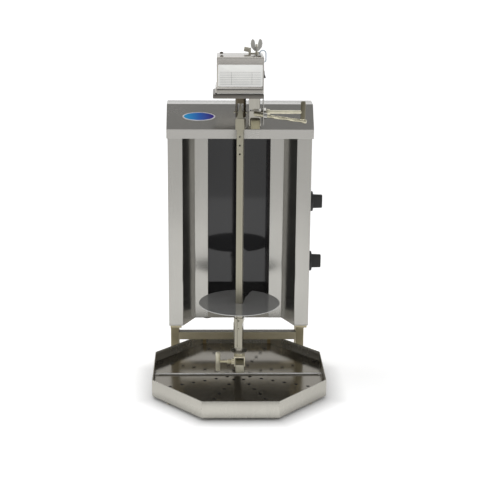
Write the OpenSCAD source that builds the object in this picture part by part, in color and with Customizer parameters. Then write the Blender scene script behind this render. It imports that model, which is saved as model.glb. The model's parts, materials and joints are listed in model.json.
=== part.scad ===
// Electric skewer grill: a vertical spit in front of an upright radiant heater,
// standing over an octagonal drip tray that pulls forward like a drawer.
// X runs to the user's right, Y away from the user, Z up; the origin is on the
// counter under the centre of the tray. Units are millimetres.

/* [Tray] */
// Width of the octagonal tray, side to side
tray_w = 414; // [360:1:460]
// Depth of the tray, front to back
tray_d = 442; // [400:1:480]
// Length of the tray's front and rear edges
tray_edge = 177; // [150:1:200]
// Length of the tray's side edges
tray_side = 184; // [150:1:210]
// Height of the tray wall
tray_h = 42; // [34:1:48]
// Sheet thickness of the tray
tray_t = 1.2; // [0.8:0.1:2]
// Depth of the perforated covers below the tray rim
cover_drop = 25; // [15:1:32]
// Sheet thickness of the perforated covers
cover_t = 1.2; // [0.8:0.1:2]
// Diameter of the drain holes in the covers
drain_d = 6; // [3:0.5:8]
// Distance between drain holes along the side rays
drain_pitch = 30; // [20:1:40]
// Distance between drain holes along the front and rear rays
drain_end_pitch = 32; // [20:1:40]
// Width of the folded tabs in the rear corners of the tray
corner_tab_w = 9; // [5:0.5:14]

/* [Base frame] */
// Outer width of the square frame tube
tube = 20; // [16:1:22]
// Wall of the square frame tube
tube_wall = 1.5; // [1:0.1:3]
// Width over the outsides of the front legs
leg_span = 340; // [330:1:360]
// Gap in depth between the tray's slanted rear edges and the front legs
leg_gap = 4; // [3:0.5:8]
// Height of the underside of the crossbar
crossbar_z = 56.5; // [54:0.5:60]
// Thickness of the flat floor runners
runner_t = 4; // [3:0.5:5]
// Distance of the runners' front ends before the tray centre
runner_front = 128; // [100:1:131]
// Thickness of the rubber pads under the runners
pad_t = 2; // [1:0.5:4]
// Diameter of the rubber pads
pad_d = 18; // [12:1:20]
// Thickness of the flat bars under the cabinet
rail_t = 6; // [4:0.5:8]
// Width of the flat bars under the cabinet
rail_w = 27; // [22:1:32]
// Thickness of the rear posts
post_t = 6; // [4:0.5:8]
// Depth of the rear posts
post_d = 20; // [14:1:24]

/* [Cabinet] */
// Width over the side panels
cabinet_w = 338; // [330:1:350]
// Distance of the column faces behind the tray centre
cabinet_y = 19; // [15:1:25]
// Depth of the cabinet
cabinet_d = 199; // [196:1:215]
// Height of the cabinet's underside
cabinet_z = 144; // [140:1:150]
// Height of the cabinet's roof deck
roof_z = 633; // [628:1:636]
// Width of each front column
column_w = 34; // [28:1:40]
// Depth of the slanted wings between columns and bands
wing_d = 59; // [45:1:65]
// Width between the inner ends of the wings
wing_span = 213; // [200:1:222]
// Width of the heater opening between the bands
opening_w = 149.6; // [130:0.2:160]
// Height of the sill band under the opening
sill_h = 24; // [16:1:32]
// Depth of the heater, from the face of its glass to the back of the cabinet
heater_d = 30; // [29:1:40]
// Thickness of the heater glass
glass_t = 4; // [3:0.5:5]
// Sheet thickness of the cabinet
sheet = 1.2; // [0.8:0.1:1.6]

/* [Hood] */
// Width of the hood
hood_w = 340.9; // [340.8:0.1:352]
// Overhang of the hood lip before the columns
hood_over = 28.7; // [20:0.1:34]
// Height of the lip's lower edge
lip_z = 611.4; // [606:0.1:620]
// Height of the lip
lip_h = 21.9; // [12:0.1:26]
// Height of the hood's flat top
hood_z = 684.7; // [682:0.1:695]
// Depth of the hood's flat top
hood_top_d = 54; // [40:1:60]
// Run of the slanted fascia from lip to top
fascia_run = 46.7; // [40:0.1:52]
// Drop of the hood's rear slope
rear_drop = 42; // [36:1:46]
// Length of the oval badge
badge_w = 76; // [60:1:90]
// Height of the oval badge along the fascia
badge_h = 22; // [18:1:30]
// Distance of the badge centre left of the middle
badge_x = 95.5; // [80:0.5:110]

/* [Arms] */
// Width of the arm tubes
arm = 20; // [18:0.5:20]
// Height of the upper arm's underside
upper_arm_z = 652; // [650:0.5:654]
// Distance of the upper arm right of the middle
upper_arm_x = 31; // [29:1:33]
// Distance of the upper arm's free end before the tray centre
upper_arm_front = 108; // [104:1:112]
// Distance of the upper arm's fixed end behind the tray centre
upper_arm_back = 108; // [100:1:112]
// Distance of the lower arm's free end before the tray centre
lower_arm_front = 121; // [105:1:130]
// Running gap between an arm and its slider
slider_gap = 0.3; // [0.2:0.05:0.4]

/* [Spit] */
// Sideways place of the spit axis
spit_x = -1; // [-2:0.5:1]
// Distance of the spit axis before the tray centre
spit_front = 72.5; // [71:0.5:74]
// Width of the square skewer bar
bar = 14.5; // [12:0.5:15]
// Turn of the spit about its axis, in degrees
spit_turn = -11; // [-20:1:0]
// Height of the skewer's point
tip_z = 703; // [700:0.5:704]
// Length of the skewer's pointed tip
tip_l = 30; // [26:0.5:31]
// Width of the square collar under the tip
collar_w = 20; // [18:0.5:21]
// Height of the square collar
collar_h = 25; // [18:1:30]
// Diameter of the cross pin
pin_d = 5; // [4:0.5:6]
// Length of the cross pin
pin_l = 31; // [28:1:34]
// Radius of the meat plate
plate_r = 94.3; // [80:0.1:95]
// Thickness of the meat plate
plate_t = 2; // [1.5:0.1:3]
// Height of the meat plate's top
plate_z = 235; // [220:1:260]
// Outer width of the square sleeve under the plate
sleeve_w = 18; // [17.5:0.5:20]
// Diameter of the pivot pin
pivot_d = 8; // [6:0.5:10]
// Radius of the drip dish
dish_r = 19.5; // [16:0.5:24]

/* [Drive head] */
// Width of the motor cover
box_w = 104; // [98:1:106]
// Depth of the motor cover
box_d = 82; // [76:1:84]
// Height of the motor cover
box_h = 78.5; // [72:0.5:84]
// Distance of the cover's right wall from the middle
box_right = 49; // [48:0.5:52]
// Height of the carriage plate's underside
flange_z = 721; // [718:0.5:724]
// Height of the carriage plate's folded edge
flange_h = 10; // [8:0.5:12]
// Overhang of the carriage plate left of the cover
flange_left = 8.5; // [4:0.5:12]
// Thickness of the gasket under the motor cover
gasket_t = 2.5; // [1.5:0.5:4]
// Length of the T-handle crossbars
t_bar_l = 50; // [40:1:51]
// Diameter of the T-handle crossbars
t_bar_d = 11; // [9:0.5:12]
// Diameter of the upper clamp screw
screw_d = 8; // [6:0.5:9]
// Diameter of the lower clamp screw
lower_screw_d = 6; // [5:0.5:8]
// Reach of the upper T-handle from the side plate
upper_reach = 91; // [70:1:100]
// Reach of the lower T-handle from the slider
lower_reach = 38; // [30:1:50]
// Width of the rating plate
rating_w = 98; // [80:1:100]
// Height of the rating plate
rating_h = 48; // [40:1:56]

/* [Controls] */
// Diameter of the knob skirts
knob_d = 50; // [44:1:54]
// Depth of the knob skirts
skirt_t = 8; // [6:0.5:10]
// Height of the grip above the skirt
grip_t = 23; // [16:0.5:26]
// Length of the grip across the skirt
grip_l = 33; // [28:1:40]
// Height of the upper knob's axis
upper_knob_z = 444; // [420:1:460]
// Height of the lower knob's axis
lower_knob_z = 294; // [280:1:310]
// Distance of the knobs behind the column faces
knob_back = 51; // [46:1:70]

/* [Hidden] */
$fn = 48;

// Shared clearances
seat = 0.2;             // between a piece and what it rests on
run = 0.05;             // radial clearance of a running shaft
loose = 0.3;            // between pieces that pass each other
eps = 0.1;              // cutters stand this far out of what they cut

// Heights that follow from the floor upwards
runner_z = pad_t;
base_z = runner_z + runner_t;
tray_z = base_z + seat;
rim_z = tray_z + tray_h;
cover_z = rim_z - cover_drop;
lower_arm_z = crossbar_z + tube;
rail_z = cabinet_z - rail_t;

// Plan of the cabinet
half = cabinet_w / 2;
band_y = cabinet_y + wing_d;
cabinet_back = cabinet_y + cabinet_d;
glass_y = cabinet_back - heater_d;
sill_z = cabinet_z + sill_h;

// Plan of the frame
leg_out = leg_span / 2;
leg_in = leg_out - tube;
slant_y = tray_side / 2 + (tray_w / 2 - leg_in) * (tray_d - tray_side) / (tray_w - tray_edge);
leg_y = slant_y + leg_gap;
runner_w = tube + 1;
post_gap = 12;
post_y = leg_y + tube + post_gap;
runner_back = post_y + post_d + 2;
rail_inset = 3;

// Hood profile in Y and Z
lip_y = cabinet_y - hood_over;
fascia_y = lip_y + fascia_run;
fascia_z = lip_z + lip_h;
ridge_y = fascia_y + hood_top_d;
hood_back = cabinet_back + seat + sheet;
rear_slope = atan2(rear_drop, hood_back - ridge_y);

// Drive head
spit_y = -spit_front;
box_left = box_right - box_w;
box_y = spit_y - 38;
plate_top = flange_z + flange_h;
box_z = plate_top + gasket_t;
box_top = box_z + box_h;
cover_wall = 1.5;
side_plate_t = 1.5;
clamp_y = spit_y + 10.5;
clamp_z = upper_arm_z + arm + 11;
neck_y = spit_y - 17;
neck_d = 40;
pin_z = 684;
t_axis_x = box_right + upper_reach;
lower_t_x = -arm / 2 - 3 - lower_reach;
lower_screw_z = lower_arm_z + arm / 2;

// Switch in the right wall of the motor cover
switch_y = spit_y + 2;
switch_z = box_z + 35.5;

// Outline of the octagonal tray, moved inwards by an inset
function octagon(inset) =
    let (
        hw = tray_w / 2,
        hd = tray_d / 2,
        dx = hd - tray_side / 2,
        dy = hw - tray_edge / 2,
        n = norm([dx, dy]),
        c = (dx * hw + dy * tray_side / 2) / n - inset,
        w = hw - inset,
        d = hd - inset,
        yw = (c - dx / n * w) / (dy / n),
        xd = (c - dy / n * d) / (dx / n)
    )
    [[w, -yw], [w, yw], [xd, d], [-xd, d], [-w, yw], [-w, -yw], [-xd, -d], [xd, -d]];

// Unit direction from a to b, and the point where two offset edges meet
function dir(a, b) = (b - a) / norm(b - a);
function left_of(v) = [-v[1], v[0]];
function mitre(a, b, c, t) =
    let (
        n1 = left_of(dir(a, b)),
        n2 = left_of(dir(b, c))
    )
    b + (n1 + n2) * t / (1 + n1 * n2);

// A sheet of thickness t folded along the points, thickened to the left
function folded(p, t) =
    let (last = len(p) - 1)
    concat(
        p,
        [for (i = [last : -1 : 0])
            i == last ? p[last] + left_of(dir(p[last - 1], p[last])) * t
            : i == 0 ? p[0] + left_of(dir(p[0], p[1])) * t
            : mitre(p[i - 1], p[i], p[i + 1], t)]
    );

module box_at(x, y, z) {
    translate([x[0], y[0], z[0]])
        cube([x[1] - x[0], y[1] - y[0], z[1] - z[0]]);
}

module rod_x(x0, x1, d) {
    translate([x0, 0, 0])
        rotate([0, 90, 0])
            cylinder(d = d, h = x1 - x0);
}

module rod_y(y0, y1, d) {
    translate([0, y0, 0])
        rotate([-90, 0, 0])
            cylinder(d = d, h = y1 - y0);
}

module both_sides() {
    for (s = [0, 1])
        mirror([s, 0, 0])
            children();
}

module in_spit() {
    translate([spit_x, spit_y, 0])
        rotate([0, 0, spit_turn])
            children();
}

// ---- Tray ----

module tray_pan() {
    color([0.72, 0.71, 0.68]) {
        difference() {
            translate([0, 0, tray_z])
                linear_extrude(tray_h)
                    polygon(octagon(0));
            translate([0, 0, tray_z + tray_t])
                linear_extrude(tray_h)
                    polygon(octagon(tray_t));
        }
        both_sides()
            corner_tab();
    }
}

module corner_tab() {
    tab_top = rim_z - 2;
    x1 = octagon(tray_t)[2][0];
    y1 = tray_d / 2 - tray_t;
    box_at([x1 - corner_tab_w, x1], [y1 - 0.8, y1], [tray_z + tray_t, tab_top]);
}

module drain_ray(corner, pitch) {
    reach = norm(corner);
    for (k = [1 : floor((reach - 2.5 * drain_d) / pitch)])
        translate([corner[0] * k * pitch / reach, corner[1] * k * pitch / reach, cover_z - 2 * cover_t])
            cylinder(d = drain_d, h = 3 * cover_t);
}

// One half of the perforated cover, on the front side of the seam
module cover_half(hem_h) {
    inset = tray_t + 1;
    foot_z = tray_z + tray_t + seat;
    edge_y = -(tray_d / 2 - inset);
    seam_y = -seat / 2;
    difference() {
        translate([0, 0, cover_z - cover_t])
            linear_extrude(cover_t)
                intersection() {
                    polygon(octagon(inset));
                    translate([-tray_w, -tray_d + seam_y])
                        square([2 * tray_w, tray_d]);
                }
        both_sides() {
            drain_ray([tray_w / 2, -tray_side / 2], drain_pitch);
            drain_ray([tray_edge / 2, -tray_d / 2], drain_end_pitch);
        }
    }
    skirt_w = tray_w / 2 - 12;
    box_at([-skirt_w, skirt_w], [seam_y - cover_t, seam_y], [foot_z, cover_z]);
    end_w = tray_edge / 2 - 12;
    box_at([-end_w, end_w], [edge_y, edge_y + cover_t], [foot_z, cover_z]);
    if (hem_h > 0)
        box_at([-skirt_w, skirt_w], [seam_y - cover_t, seam_y], [cover_z - cover_t, cover_z + hem_h]);
}

module front_cover() {
    color([0.52, 0.5, 0.46])
        cover_half(0);
}

module rear_cover() {
    color([0.52, 0.5, 0.46])
        mirror([0, 1, 0])
            cover_half(2.5);
}

// ---- Base frame ----

module front_legs() {
    color([0.5, 0.46, 0.36])
        both_sides()
            difference() {
                box_at([leg_in, leg_out], [leg_y, leg_y + tube], [base_z, rail_z]);
                box_at([leg_in + tube_wall, leg_out - tube_wall],
                    [leg_y + tube_wall, leg_y + tube - tube_wall],
                    [base_z - eps, rail_z + eps]);
            }
}

module rear_posts() {
    color([0.5, 0.46, 0.36])
        both_sides()
            box_at([leg_out - runner_w, leg_out - runner_w + post_t], [post_y, post_y + post_d],
                [base_z, rail_z]);
}

module crossbar() {
    color([0.5, 0.46, 0.36])
        difference() {
            box_at([-leg_in, leg_in], [leg_y, leg_y + tube], [crossbar_z, crossbar_z + tube]);
            box_at([-leg_in - eps, leg_in + eps],
                [leg_y + tube_wall, leg_y + tube - tube_wall],
                [crossbar_z + tube_wall, crossbar_z + tube - tube_wall]);
        }
}

module rear_tie() {
    end_x = leg_out - runner_w;
    color([0.5, 0.46, 0.36])
        difference() {
            box_at([-end_x, end_x], [post_y, post_y + tube], [rail_z - tube, rail_z]);
            box_at([-end_x - eps, end_x + eps],
                [post_y + tube_wall, post_y + tube - tube_wall],
                [rail_z - tube + tube_wall, rail_z - tube_wall]);
        }
}

module side_rails() {
    outer = half - rail_inset;
    color([0.42, 0.39, 0.31])
        both_sides()
            box_at([outer - rail_w, outer], [cabinet_y + 1, runner_back], [rail_z, cabinet_z]);
}

module floor_runners() {
    color([0.5, 0.46, 0.36])
        both_sides()
            box_at([leg_out - runner_w, leg_out], [-runner_front, runner_back], [runner_z, base_z]);
}

module rubber_pads() {
    edge = pad_d / 2 + 2;
    first_y = -runner_front + edge;
    last_y = runner_back - edge;
    color([0.08, 0.08, 0.08])
        both_sides()
            for (y = [first_y, (first_y + last_y) / 2, last_y])
                translate([leg_out - runner_w / 2, y, 0])
                    cylinder(d = pad_d, h = pad_t);
}

// ---- Arms ----

cap_t = 2;

module arm_tube(x, y0, y1, z) {
    difference() {
        box_at([x - arm / 2, x + arm / 2], [y0, y1], [z, z + arm]);
        box_at([x - arm / 2 + tube_wall, x + arm / 2 - tube_wall], [y0 - eps, y1 + eps],
            [z + tube_wall, z + arm - tube_wall]);
    }
}

module arm_cap(x, y, z) {
    plug = arm - 2 * tube_wall - 2 * seat;
    box_at([x - arm / 2, x + arm / 2], [y, y + cap_t], [z, z + arm]);
    box_at([x - plug / 2, x + plug / 2], [y, y + 8], [z + arm / 2 - plug / 2, z + arm / 2 + plug / 2]);
}

module lower_arm() {
    color([0.66, 0.64, 0.58])
        arm_tube(0, -lower_arm_front + cap_t, leg_y + tube, lower_arm_z);
}

module upper_arm() {
    color([0.66, 0.64, 0.58])
        arm_tube(upper_arm_x, -upper_arm_front + cap_t, upper_arm_back, upper_arm_z);
}

module arm_caps() {
    color([0.62, 0.57, 0.48]) {
        arm_cap(0, -lower_arm_front, lower_arm_z);
        arm_cap(upper_arm_x, -upper_arm_front, upper_arm_z);
    }
}

// Channel that stands on the roof deck and carries the upper arm
module upper_arm_bracket() {
    deck_z = roof_z + sheet;
    wide = arm / 2 + 6;
    color([0.6, 0.6, 0.58])
        difference() {
            box_at([upper_arm_x - wide, upper_arm_x + wide], [fascia_y + 8, upper_arm_back - 4],
                [deck_z, upper_arm_z + 8]);
            box_at([upper_arm_x - arm / 2, upper_arm_x + arm / 2], [fascia_y, upper_arm_back],
                [upper_arm_z, upper_arm_z + 9]);
            box_at([upper_arm_x - wide + 3, upper_arm_x + wide - 3], [fascia_y, upper_arm_back],
                [deck_z - eps, upper_arm_z - 3]);
        }
}

// ---- Cabinet ----

// Column, wing and band folded from one sheet
module front_sheet() {
    path = [[half, cabinet_y], [half - column_w, cabinet_y], [wing_span / 2, band_y], [opening_w / 2, band_y]];
    translate([0, 0, cabinet_z])
        linear_extrude(roof_z - cabinet_z)
            polygon(folded(path, -sheet));
}

module right_front() {
    color([0.69, 0.68, 0.65])
        front_sheet();
}

module left_front() {
    color([0.69, 0.68, 0.65])
        mirror([1, 0, 0])
            front_sheet();
}

module side_panel() {
    box_at([half - sheet, half], [cabinet_y + sheet, cabinet_back], [cabinet_z, roof_z]);
}

knob_y = cabinet_y + knob_back;
spindle_d = 6;

module right_side_panel() {
    color([0.72, 0.71, 0.69])
        difference() {
            side_panel();
            for (z = [upper_knob_z, lower_knob_z])
                translate([0, knob_y, z])
                    rod_x(half - 2 * sheet, half + eps, spindle_d + 2);
        }
}

module left_side_panel() {
    color([0.72, 0.71, 0.69])
        mirror([1, 0, 0])
            side_panel();
}

module sill_band() {
    color([0.69, 0.68, 0.65])
        box_at([-opening_w / 2, opening_w / 2], [band_y, band_y + sheet], [cabinet_z, sill_z]);
}

// Room inside the folded front sheets, side panels and back panel
function inner_plan() =
    let (
        f = folded([[half, cabinet_y], [half - column_w, cabinet_y], [wing_span / 2, band_y],
            [opening_w / 2, band_y]], -sheet),
        s = half - sheet,
        b = cabinet_back - sheet
    )
    [[s, f[7][1]], [s, b], [-s, b], [-s, f[7][1]], [-f[6][0], f[6][1]], [-f[5][0], f[5][1]],
        [f[5][0], f[5][1]], [f[6][0], f[6][1]]];

gland_x = -77;
gland_back = 81;
gland_y = cabinet_y + gland_back;
gland_d = 20;

module bottom_panel() {
    color([0.6, 0.6, 0.58])
        difference() {
            translate([0, 0, cabinet_z])
                linear_extrude(sheet)
                    polygon(inner_plan());
            translate([gland_x, gland_y, cabinet_z - eps])
                cylinder(d = gland_d + 2 * seat, h = sheet + 2 * eps);
        }
}

module back_panel() {
    slot_w = 60;
    slot_h = 4;
    slot_x = 100;
    slot_rise = 40;
    slot_pitch = 12;
    color([0.68, 0.67, 0.65])
        difference() {
            box_at([-half + sheet, half - sheet], [cabinet_back - sheet, cabinet_back], [cabinet_z, roof_z]);
            for (x = [-slot_x, slot_x])
                for (z = [for (k = [0 : 7]) cabinet_z + slot_rise + slot_pitch * k])
                    box_at([x - slot_w / 2, x + slot_w / 2], [cabinet_back - 2 * sheet, cabinet_back + eps],
                        [z, z + slot_h]);
        }
}

module roof_deck() {
    s = half;
    color([0.6, 0.6, 0.58])
        box_at([-s, s], [cabinet_y, cabinet_back], [roof_z, roof_z + sheet]);
}

liner_top = lip_z + 8;

// Frame of folded sheet that lines the recess, with a flange up to the roof deck
module recess_liner() {
    outer = opening_w / 2 + sheet;
    color([0.3, 0.3, 0.3])
        difference() {
            union() {
                box_at([-outer, outer], [band_y + sheet, glass_y], [sill_z - sheet, liner_top + sheet]);
                box_at([-outer, outer], [band_y + sheet, band_y + 2 * sheet], [liner_top, roof_z]);
            }
            box_at([-opening_w / 2, opening_w / 2], [band_y, glass_y + eps], [sill_z, liner_top]);
        }
}

glass_edge = 6;
glass_x = opening_w / 2 + glass_edge;
glass_z0 = sill_z - glass_edge;
glass_z1 = liner_top + glass_edge - 2;

module heater_glass() {
    color([0.1, 0.1, 0.11, 0.9])
        box_at([-glass_x, glass_x], [glass_y, glass_y + glass_t], [glass_z0, glass_z1]);
}

pan_t = 1;
pan_margin = 4;
pan_gap = 3;
pan_x = glass_x + pan_margin;
pan_y0 = glass_y + glass_t;
pan_y1 = cabinet_back - sheet - pan_gap;
pan_z0 = glass_z0 - pan_margin;
pan_z1 = glass_z1 - pan_t;
element_tail = 6;
loom_d = 6;
loom_foot_z = pan_z0 - element_tail;
hole_gap = 0.5;

// Open-fronted pan behind the glass, standing on two feet on the bottom panel
module heater_box() {
    color([0.62, 0.62, 0.6])
        difference() {
            union() {
                box_at([-pan_x, pan_x], [pan_y0, pan_y1], [pan_z0, pan_z1]);
                both_sides()
                    box_at([pan_x - pan_t, pan_x], [pan_y0, pan_y1], [cabinet_z + sheet, pan_z0 + pan_t]);
            }
            box_at([-pan_x + pan_t, pan_x - pan_t], [pan_y0 - eps, pan_y1 - pan_t],
                [pan_z0 + pan_t, pan_z1 - pan_t]);
            for (x = element_ends)
                for (z = [pan_z0 - pan_t, pan_z1 - 2 * pan_t])
                    translate([x, element_y, z])
                        cylinder(d = element_d + 2 * hole_gap, h = 3 * pan_t);
            translate([0, loom_rear_y, loom_foot_z])
                rod_x(pan_x - 2 * pan_t, pan_x + pan_t, loom_d + 2 * hole_gap);
        }
}

board_gap = 8;
board_y = pan_y0 + board_gap;

module insulation_board() {
    color([0.86, 0.84, 0.78])
        box_at([-pan_x + pan_t + seat, pan_x - pan_t - seat], [board_y, pan_y1 - pan_t - seat],
            [pan_z0 + pan_t + seat, pan_z1 - pan_t - seat]);
}

// Spring clips that pull the glass against the recess liner
module glass_clips() {
    clip_w = 14;
    clip_inset = 60;
    color([0.7, 0.7, 0.7])
        both_sides()
            for (z = [sill_z + clip_inset, liner_top - clip_inset]) {
                box_at([opening_w / 2 + sheet, glass_x + 2], [glass_y - 2, glass_y - seat], [z, z + clip_w]);
                box_at([glass_x + seat, glass_x + 2], [glass_y - 2, pan_y0 + 3 - seat], [z, z + clip_w]);
                box_at([glass_x + seat, pan_x], [pan_y0 - 2, pan_y0 - seat], [z, z + clip_w]);
            }
}

element_d = 6;
element_runs = 6;
element_pitch = 24;
element_bend = element_pitch / 2;
element_y = board_y - seat - element_d / 2;
element_ends = [-element_pitch * 2.5, element_pitch * 2.5];

// Rod bent up and down, its two ends leaving at the bottom
module element(z0, z1, end_z) {
    for (k = [0 : element_runs - 1]) {
        x = element_ends[0] + k * element_pitch;
        outer_run = k == 0 || k == element_runs - 1;
        foot = outer_run ? end_z : z0 + element_bend;
        translate([x, element_y, foot])
            rotate([0, 0, -90])
                cylinder(d = element_d, h = z1 - element_bend - foot);
    }
    for (k = [0 : element_runs - 2]) {
        up = k % 2 == 0;
        translate([element_ends[0] + (k + 0.5) * element_pitch, element_y,
            up ? z1 - element_bend : z0 + element_bend])
            rotate([90, 0, 0])
                rotate([0, 0, up ? 0 : 180])
                    rotate_extrude(angle = 180)
                        translate([element_bend, 0])
                            rotate(90)
                                circle(d = element_d);
    }
}

zone_gap = 10;
zone_z = (sill_z + liner_top) / 2;

module lower_element() {
    color([0.35, 0.3, 0.28])
        element(sill_z + 8, zone_z - zone_gap / 2, pan_z0 - element_tail);
}

module upper_element() {
    z0 = zone_z + zone_gap / 2;
    z1 = liner_top - 8;
    color([0.35, 0.3, 0.28])
        translate([0, 0, z0 + z1])
            mirror([0, 0, 1])
                element(z0, z1, z0 + z1 - pan_z1 - element_tail);
}

// Energy regulators behind the right side panel
regulator_w = 34;
regulator_d = 26;
spindle_depth = 20;
regulator_x0 = half - sheet - regulator_d;

module regulators() {
    color([0.2, 0.2, 0.21])
        for (z = [upper_knob_z, lower_knob_z])
            difference() {
                box_at([regulator_x0, half - sheet], [knob_y - regulator_w / 2, knob_y + regulator_w / 2],
                    [z - regulator_w / 2, z + regulator_w / 2]);
                translate([0, knob_y, z])
                    rod_x(half - sheet - spindle_depth, half, spindle_d + 2 * run);
            }
}

block_x = [-58, -18];
loom_x = half - sheet - 18;
loom_y = knob_y + regulator_w / 2 + 20;
loom_rear_y = element_y + element_d / 2 + loom_d / 2 + seat;

module terminal_block() {
    color([0.9, 0.89, 0.85])
        difference() {
            box_at(block_x, [loom_y - 10, loom_y + 10], [cabinet_z + sheet, cabinet_z + sheet + 16]);
            for (k = [0 : 3])
                translate([block_x[0] + 5 + 10 * k, loom_y, cabinet_z + sheet + 8])
                    cylinder(d = 5, h = 9);
        }
}

module cable_gland() {
    flange = 3;
    drop = 6;
    nut_t = 6;
    color([0.05, 0.05, 0.05])
        translate([gland_x, gland_y, 0])
            difference() {
                union() {
                    translate([0, 0, cabinet_z - drop])
                        cylinder(d1 = gland_d + 1, d2 = gland_d + 4, h = drop - flange);
                    translate([0, 0, cabinet_z - flange])
                        cylinder(d = gland_d + 7, h = flange);
                    translate([0, 0, cabinet_z - flange])
                        cylinder(d = gland_d, h = flange + sheet + nut_t);
                    translate([0, 0, cabinet_z + sheet])
                        cylinder(d = gland_d + 6, h = nut_t, $fn = 6);
                }
                translate([0, 0, cabinet_z - drop - eps])
                    cylinder(d = gland_d / 2, h = drop + sheet + nut_t + 2 * eps);
            }
}

// Leads along the points, with a slightly thicker boot at each bend
module leads(p) {
    for (i = [1 : len(p) - 1]) {
        step = p[i] - p[i - 1];
        translate(p[i - 1])
            rotate([0, acos(step[2] / norm(step)), atan2(step[1], step[0])])
                cylinder(d = loom_d, h = norm(step));
        if (i < len(p) - 1)
            translate(p[i])
                sphere(d = boot_d);
    }
}

boot_d = loom_d + 0.6;

// Sleeved leads from the terminal block to the regulators and both elements
module wiring_loom() {
    top_z = pan_z1 + loom_d / 2 + seat;
    end_x = element_ends[0] - element_d / 2;
    front_foot = [loom_x, loom_y, loom_foot_z];
    rear_foot = [loom_x, loom_rear_y, loom_foot_z];
    lower_tap = [loom_x, loom_y, lower_knob_z];
    color([0.8, 0.78, 0.72]) {
        leads([[block_x[1] + seat, loom_y, loom_foot_z], front_foot, rear_foot,
            [loom_x, loom_rear_y, top_z], [end_x, loom_rear_y, top_z]]);
        leads([rear_foot, [end_x, loom_rear_y, loom_foot_z]]);
        leads([front_foot, [loom_x, loom_y, upper_knob_z],
            [loom_x, knob_y + regulator_w / 2 + seat, upper_knob_z]]);
        leads([lower_tap, [loom_x, knob_y + regulator_w / 2 + seat, lower_knob_z]]);
        translate(lower_tap)
            sphere(d = boot_d);
    }
}

// ---- Hood ----

function hood_path() = [
    [cabinet_y - loose, lip_z],
    [lip_y, lip_z],
    [lip_y, fascia_z],
    [fascia_y, hood_z],
    [ridge_y, hood_z],
    [hood_back, hood_z - rear_drop],
    [hood_back, lip_z]
];

// Stands a profile drawn in Y and Z upright, from x0 to x1
module profile_x(x0, x1) {
    translate([x0, 0, 0])
        rotate([90, 0, 90])
            linear_extrude(x1 - x0)
                children();
}

module hood() {
    hw = hood_w / 2;
    gap = 1;
    slot_x = 70;
    slot_w = 80;
    slot_h = 4;
    slot_start = 20;
    slot_pitch = 14;
    color([0.7, 0.69, 0.66])
        difference() {
            union() {
                profile_x(-hw, hw)
                    polygon(folded(hood_path(), -sheet));
                for (x = [-hw, hw - sheet])
                    profile_x(x, x + sheet)
                        polygon(hood_path());
            }
            box_at([upper_arm_x - arm / 2 - gap, upper_arm_x + arm / 2 + gap], [lip_y - 1, fascia_y + 4],
                [upper_arm_z - gap, upper_arm_z + arm + gap]);
            for (x = [-slot_x, slot_x])
                for (y = [for (k = [0 : 3]) slot_start + slot_pitch * k])
                    translate([x, ridge_y, hood_z])
                        rotate([-rear_slope, 0, 0])
                            box_at([-slot_w / 2, slot_w / 2], [y, y + slot_h], [-2 * sheet, sheet]);
        }
}

function ellipse(a, b) = [for (k = [0 : 59]) [a * cos(6 * k), b * sin(6 * k)]];

module hood_badge() {
    slope = atan2(hood_z - fascia_z, fascia_run);
    color([0.15, 0.4, 0.8])
        translate([-badge_x, (lip_y + fascia_y) / 2, (fascia_z + hood_z) / 2])
            rotate([slope, 0, 0])
                translate([0, 0, 0.05])
                    linear_extrude(1.4)
                        polygon(ellipse(badge_w / 2, badge_h / 2));
}

// ---- Drive head ----

shaft_d = 10;
socket_d = 24;

module carriage_plate() {
    x0 = box_left - flange_left;
    x1 = box_right + 0.5;
    y0 = box_y - 4;
    y1 = box_y + box_d + 2;
    color([0.5, 0.48, 0.46])
        difference() {
            box_at([x0, x1], [y0, y1], [flange_z, plate_top]);
            box_at([x0 + side_plate_t, x1 - side_plate_t], [y0 + side_plate_t, y1 - side_plate_t],
                [flange_z - eps, plate_top - 2]);
            translate([spit_x, spit_y, flange_z])
                cylinder(d = shaft_d + 4, h = flange_h + eps);
        }
}

// Neck under the plate and the block that straddles the upper arm
module carriage_neck() {
    gap_x = arm / 2 + slider_gap;
    cheek = 3;
    block_top = clamp_z + screw_d / 2 + 3;
    neck_z = block_top + 3.5;
    color([0.6, 0.57, 0.5])
        difference() {
            union() {
                box_at([upper_arm_x - 14, upper_arm_x + 11], [neck_y, neck_y + neck_d], [neck_z, plate_top - 2]);
                box_at([upper_arm_x - 7, upper_arm_x + 7], [neck_y + 3, neck_y + neck_d], [block_top - 1, neck_z + 1]);
                box_at([upper_arm_x - gap_x - cheek, upper_arm_x + gap_x + cheek], [neck_y, neck_y + neck_d],
                    [upper_arm_z + 4, block_top]);
            }
            box_at([upper_arm_x - gap_x, upper_arm_x + gap_x], [neck_y - eps, neck_y + neck_d + eps],
                [upper_arm_z, upper_arm_z + arm + slider_gap]);
            translate([0, clamp_y, clamp_z])
                rod_x(upper_arm_x - 6, upper_arm_x + gap_x + cheek + 1, screw_d + 2 * run);
        }
}

pin_tilt = 8;
pin_rod_d = 7.5;
pin_y = neck_y - 9.5;
pin_anchor_z = clamp_z - 1.5;
pin_len = 97;
pin_tail = 20;

module on_pin_axis() {
    translate([box_right - 1, pin_y, pin_anchor_z])
        rotate([0, 90 + pin_tilt, 0])
            children();
}

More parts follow.
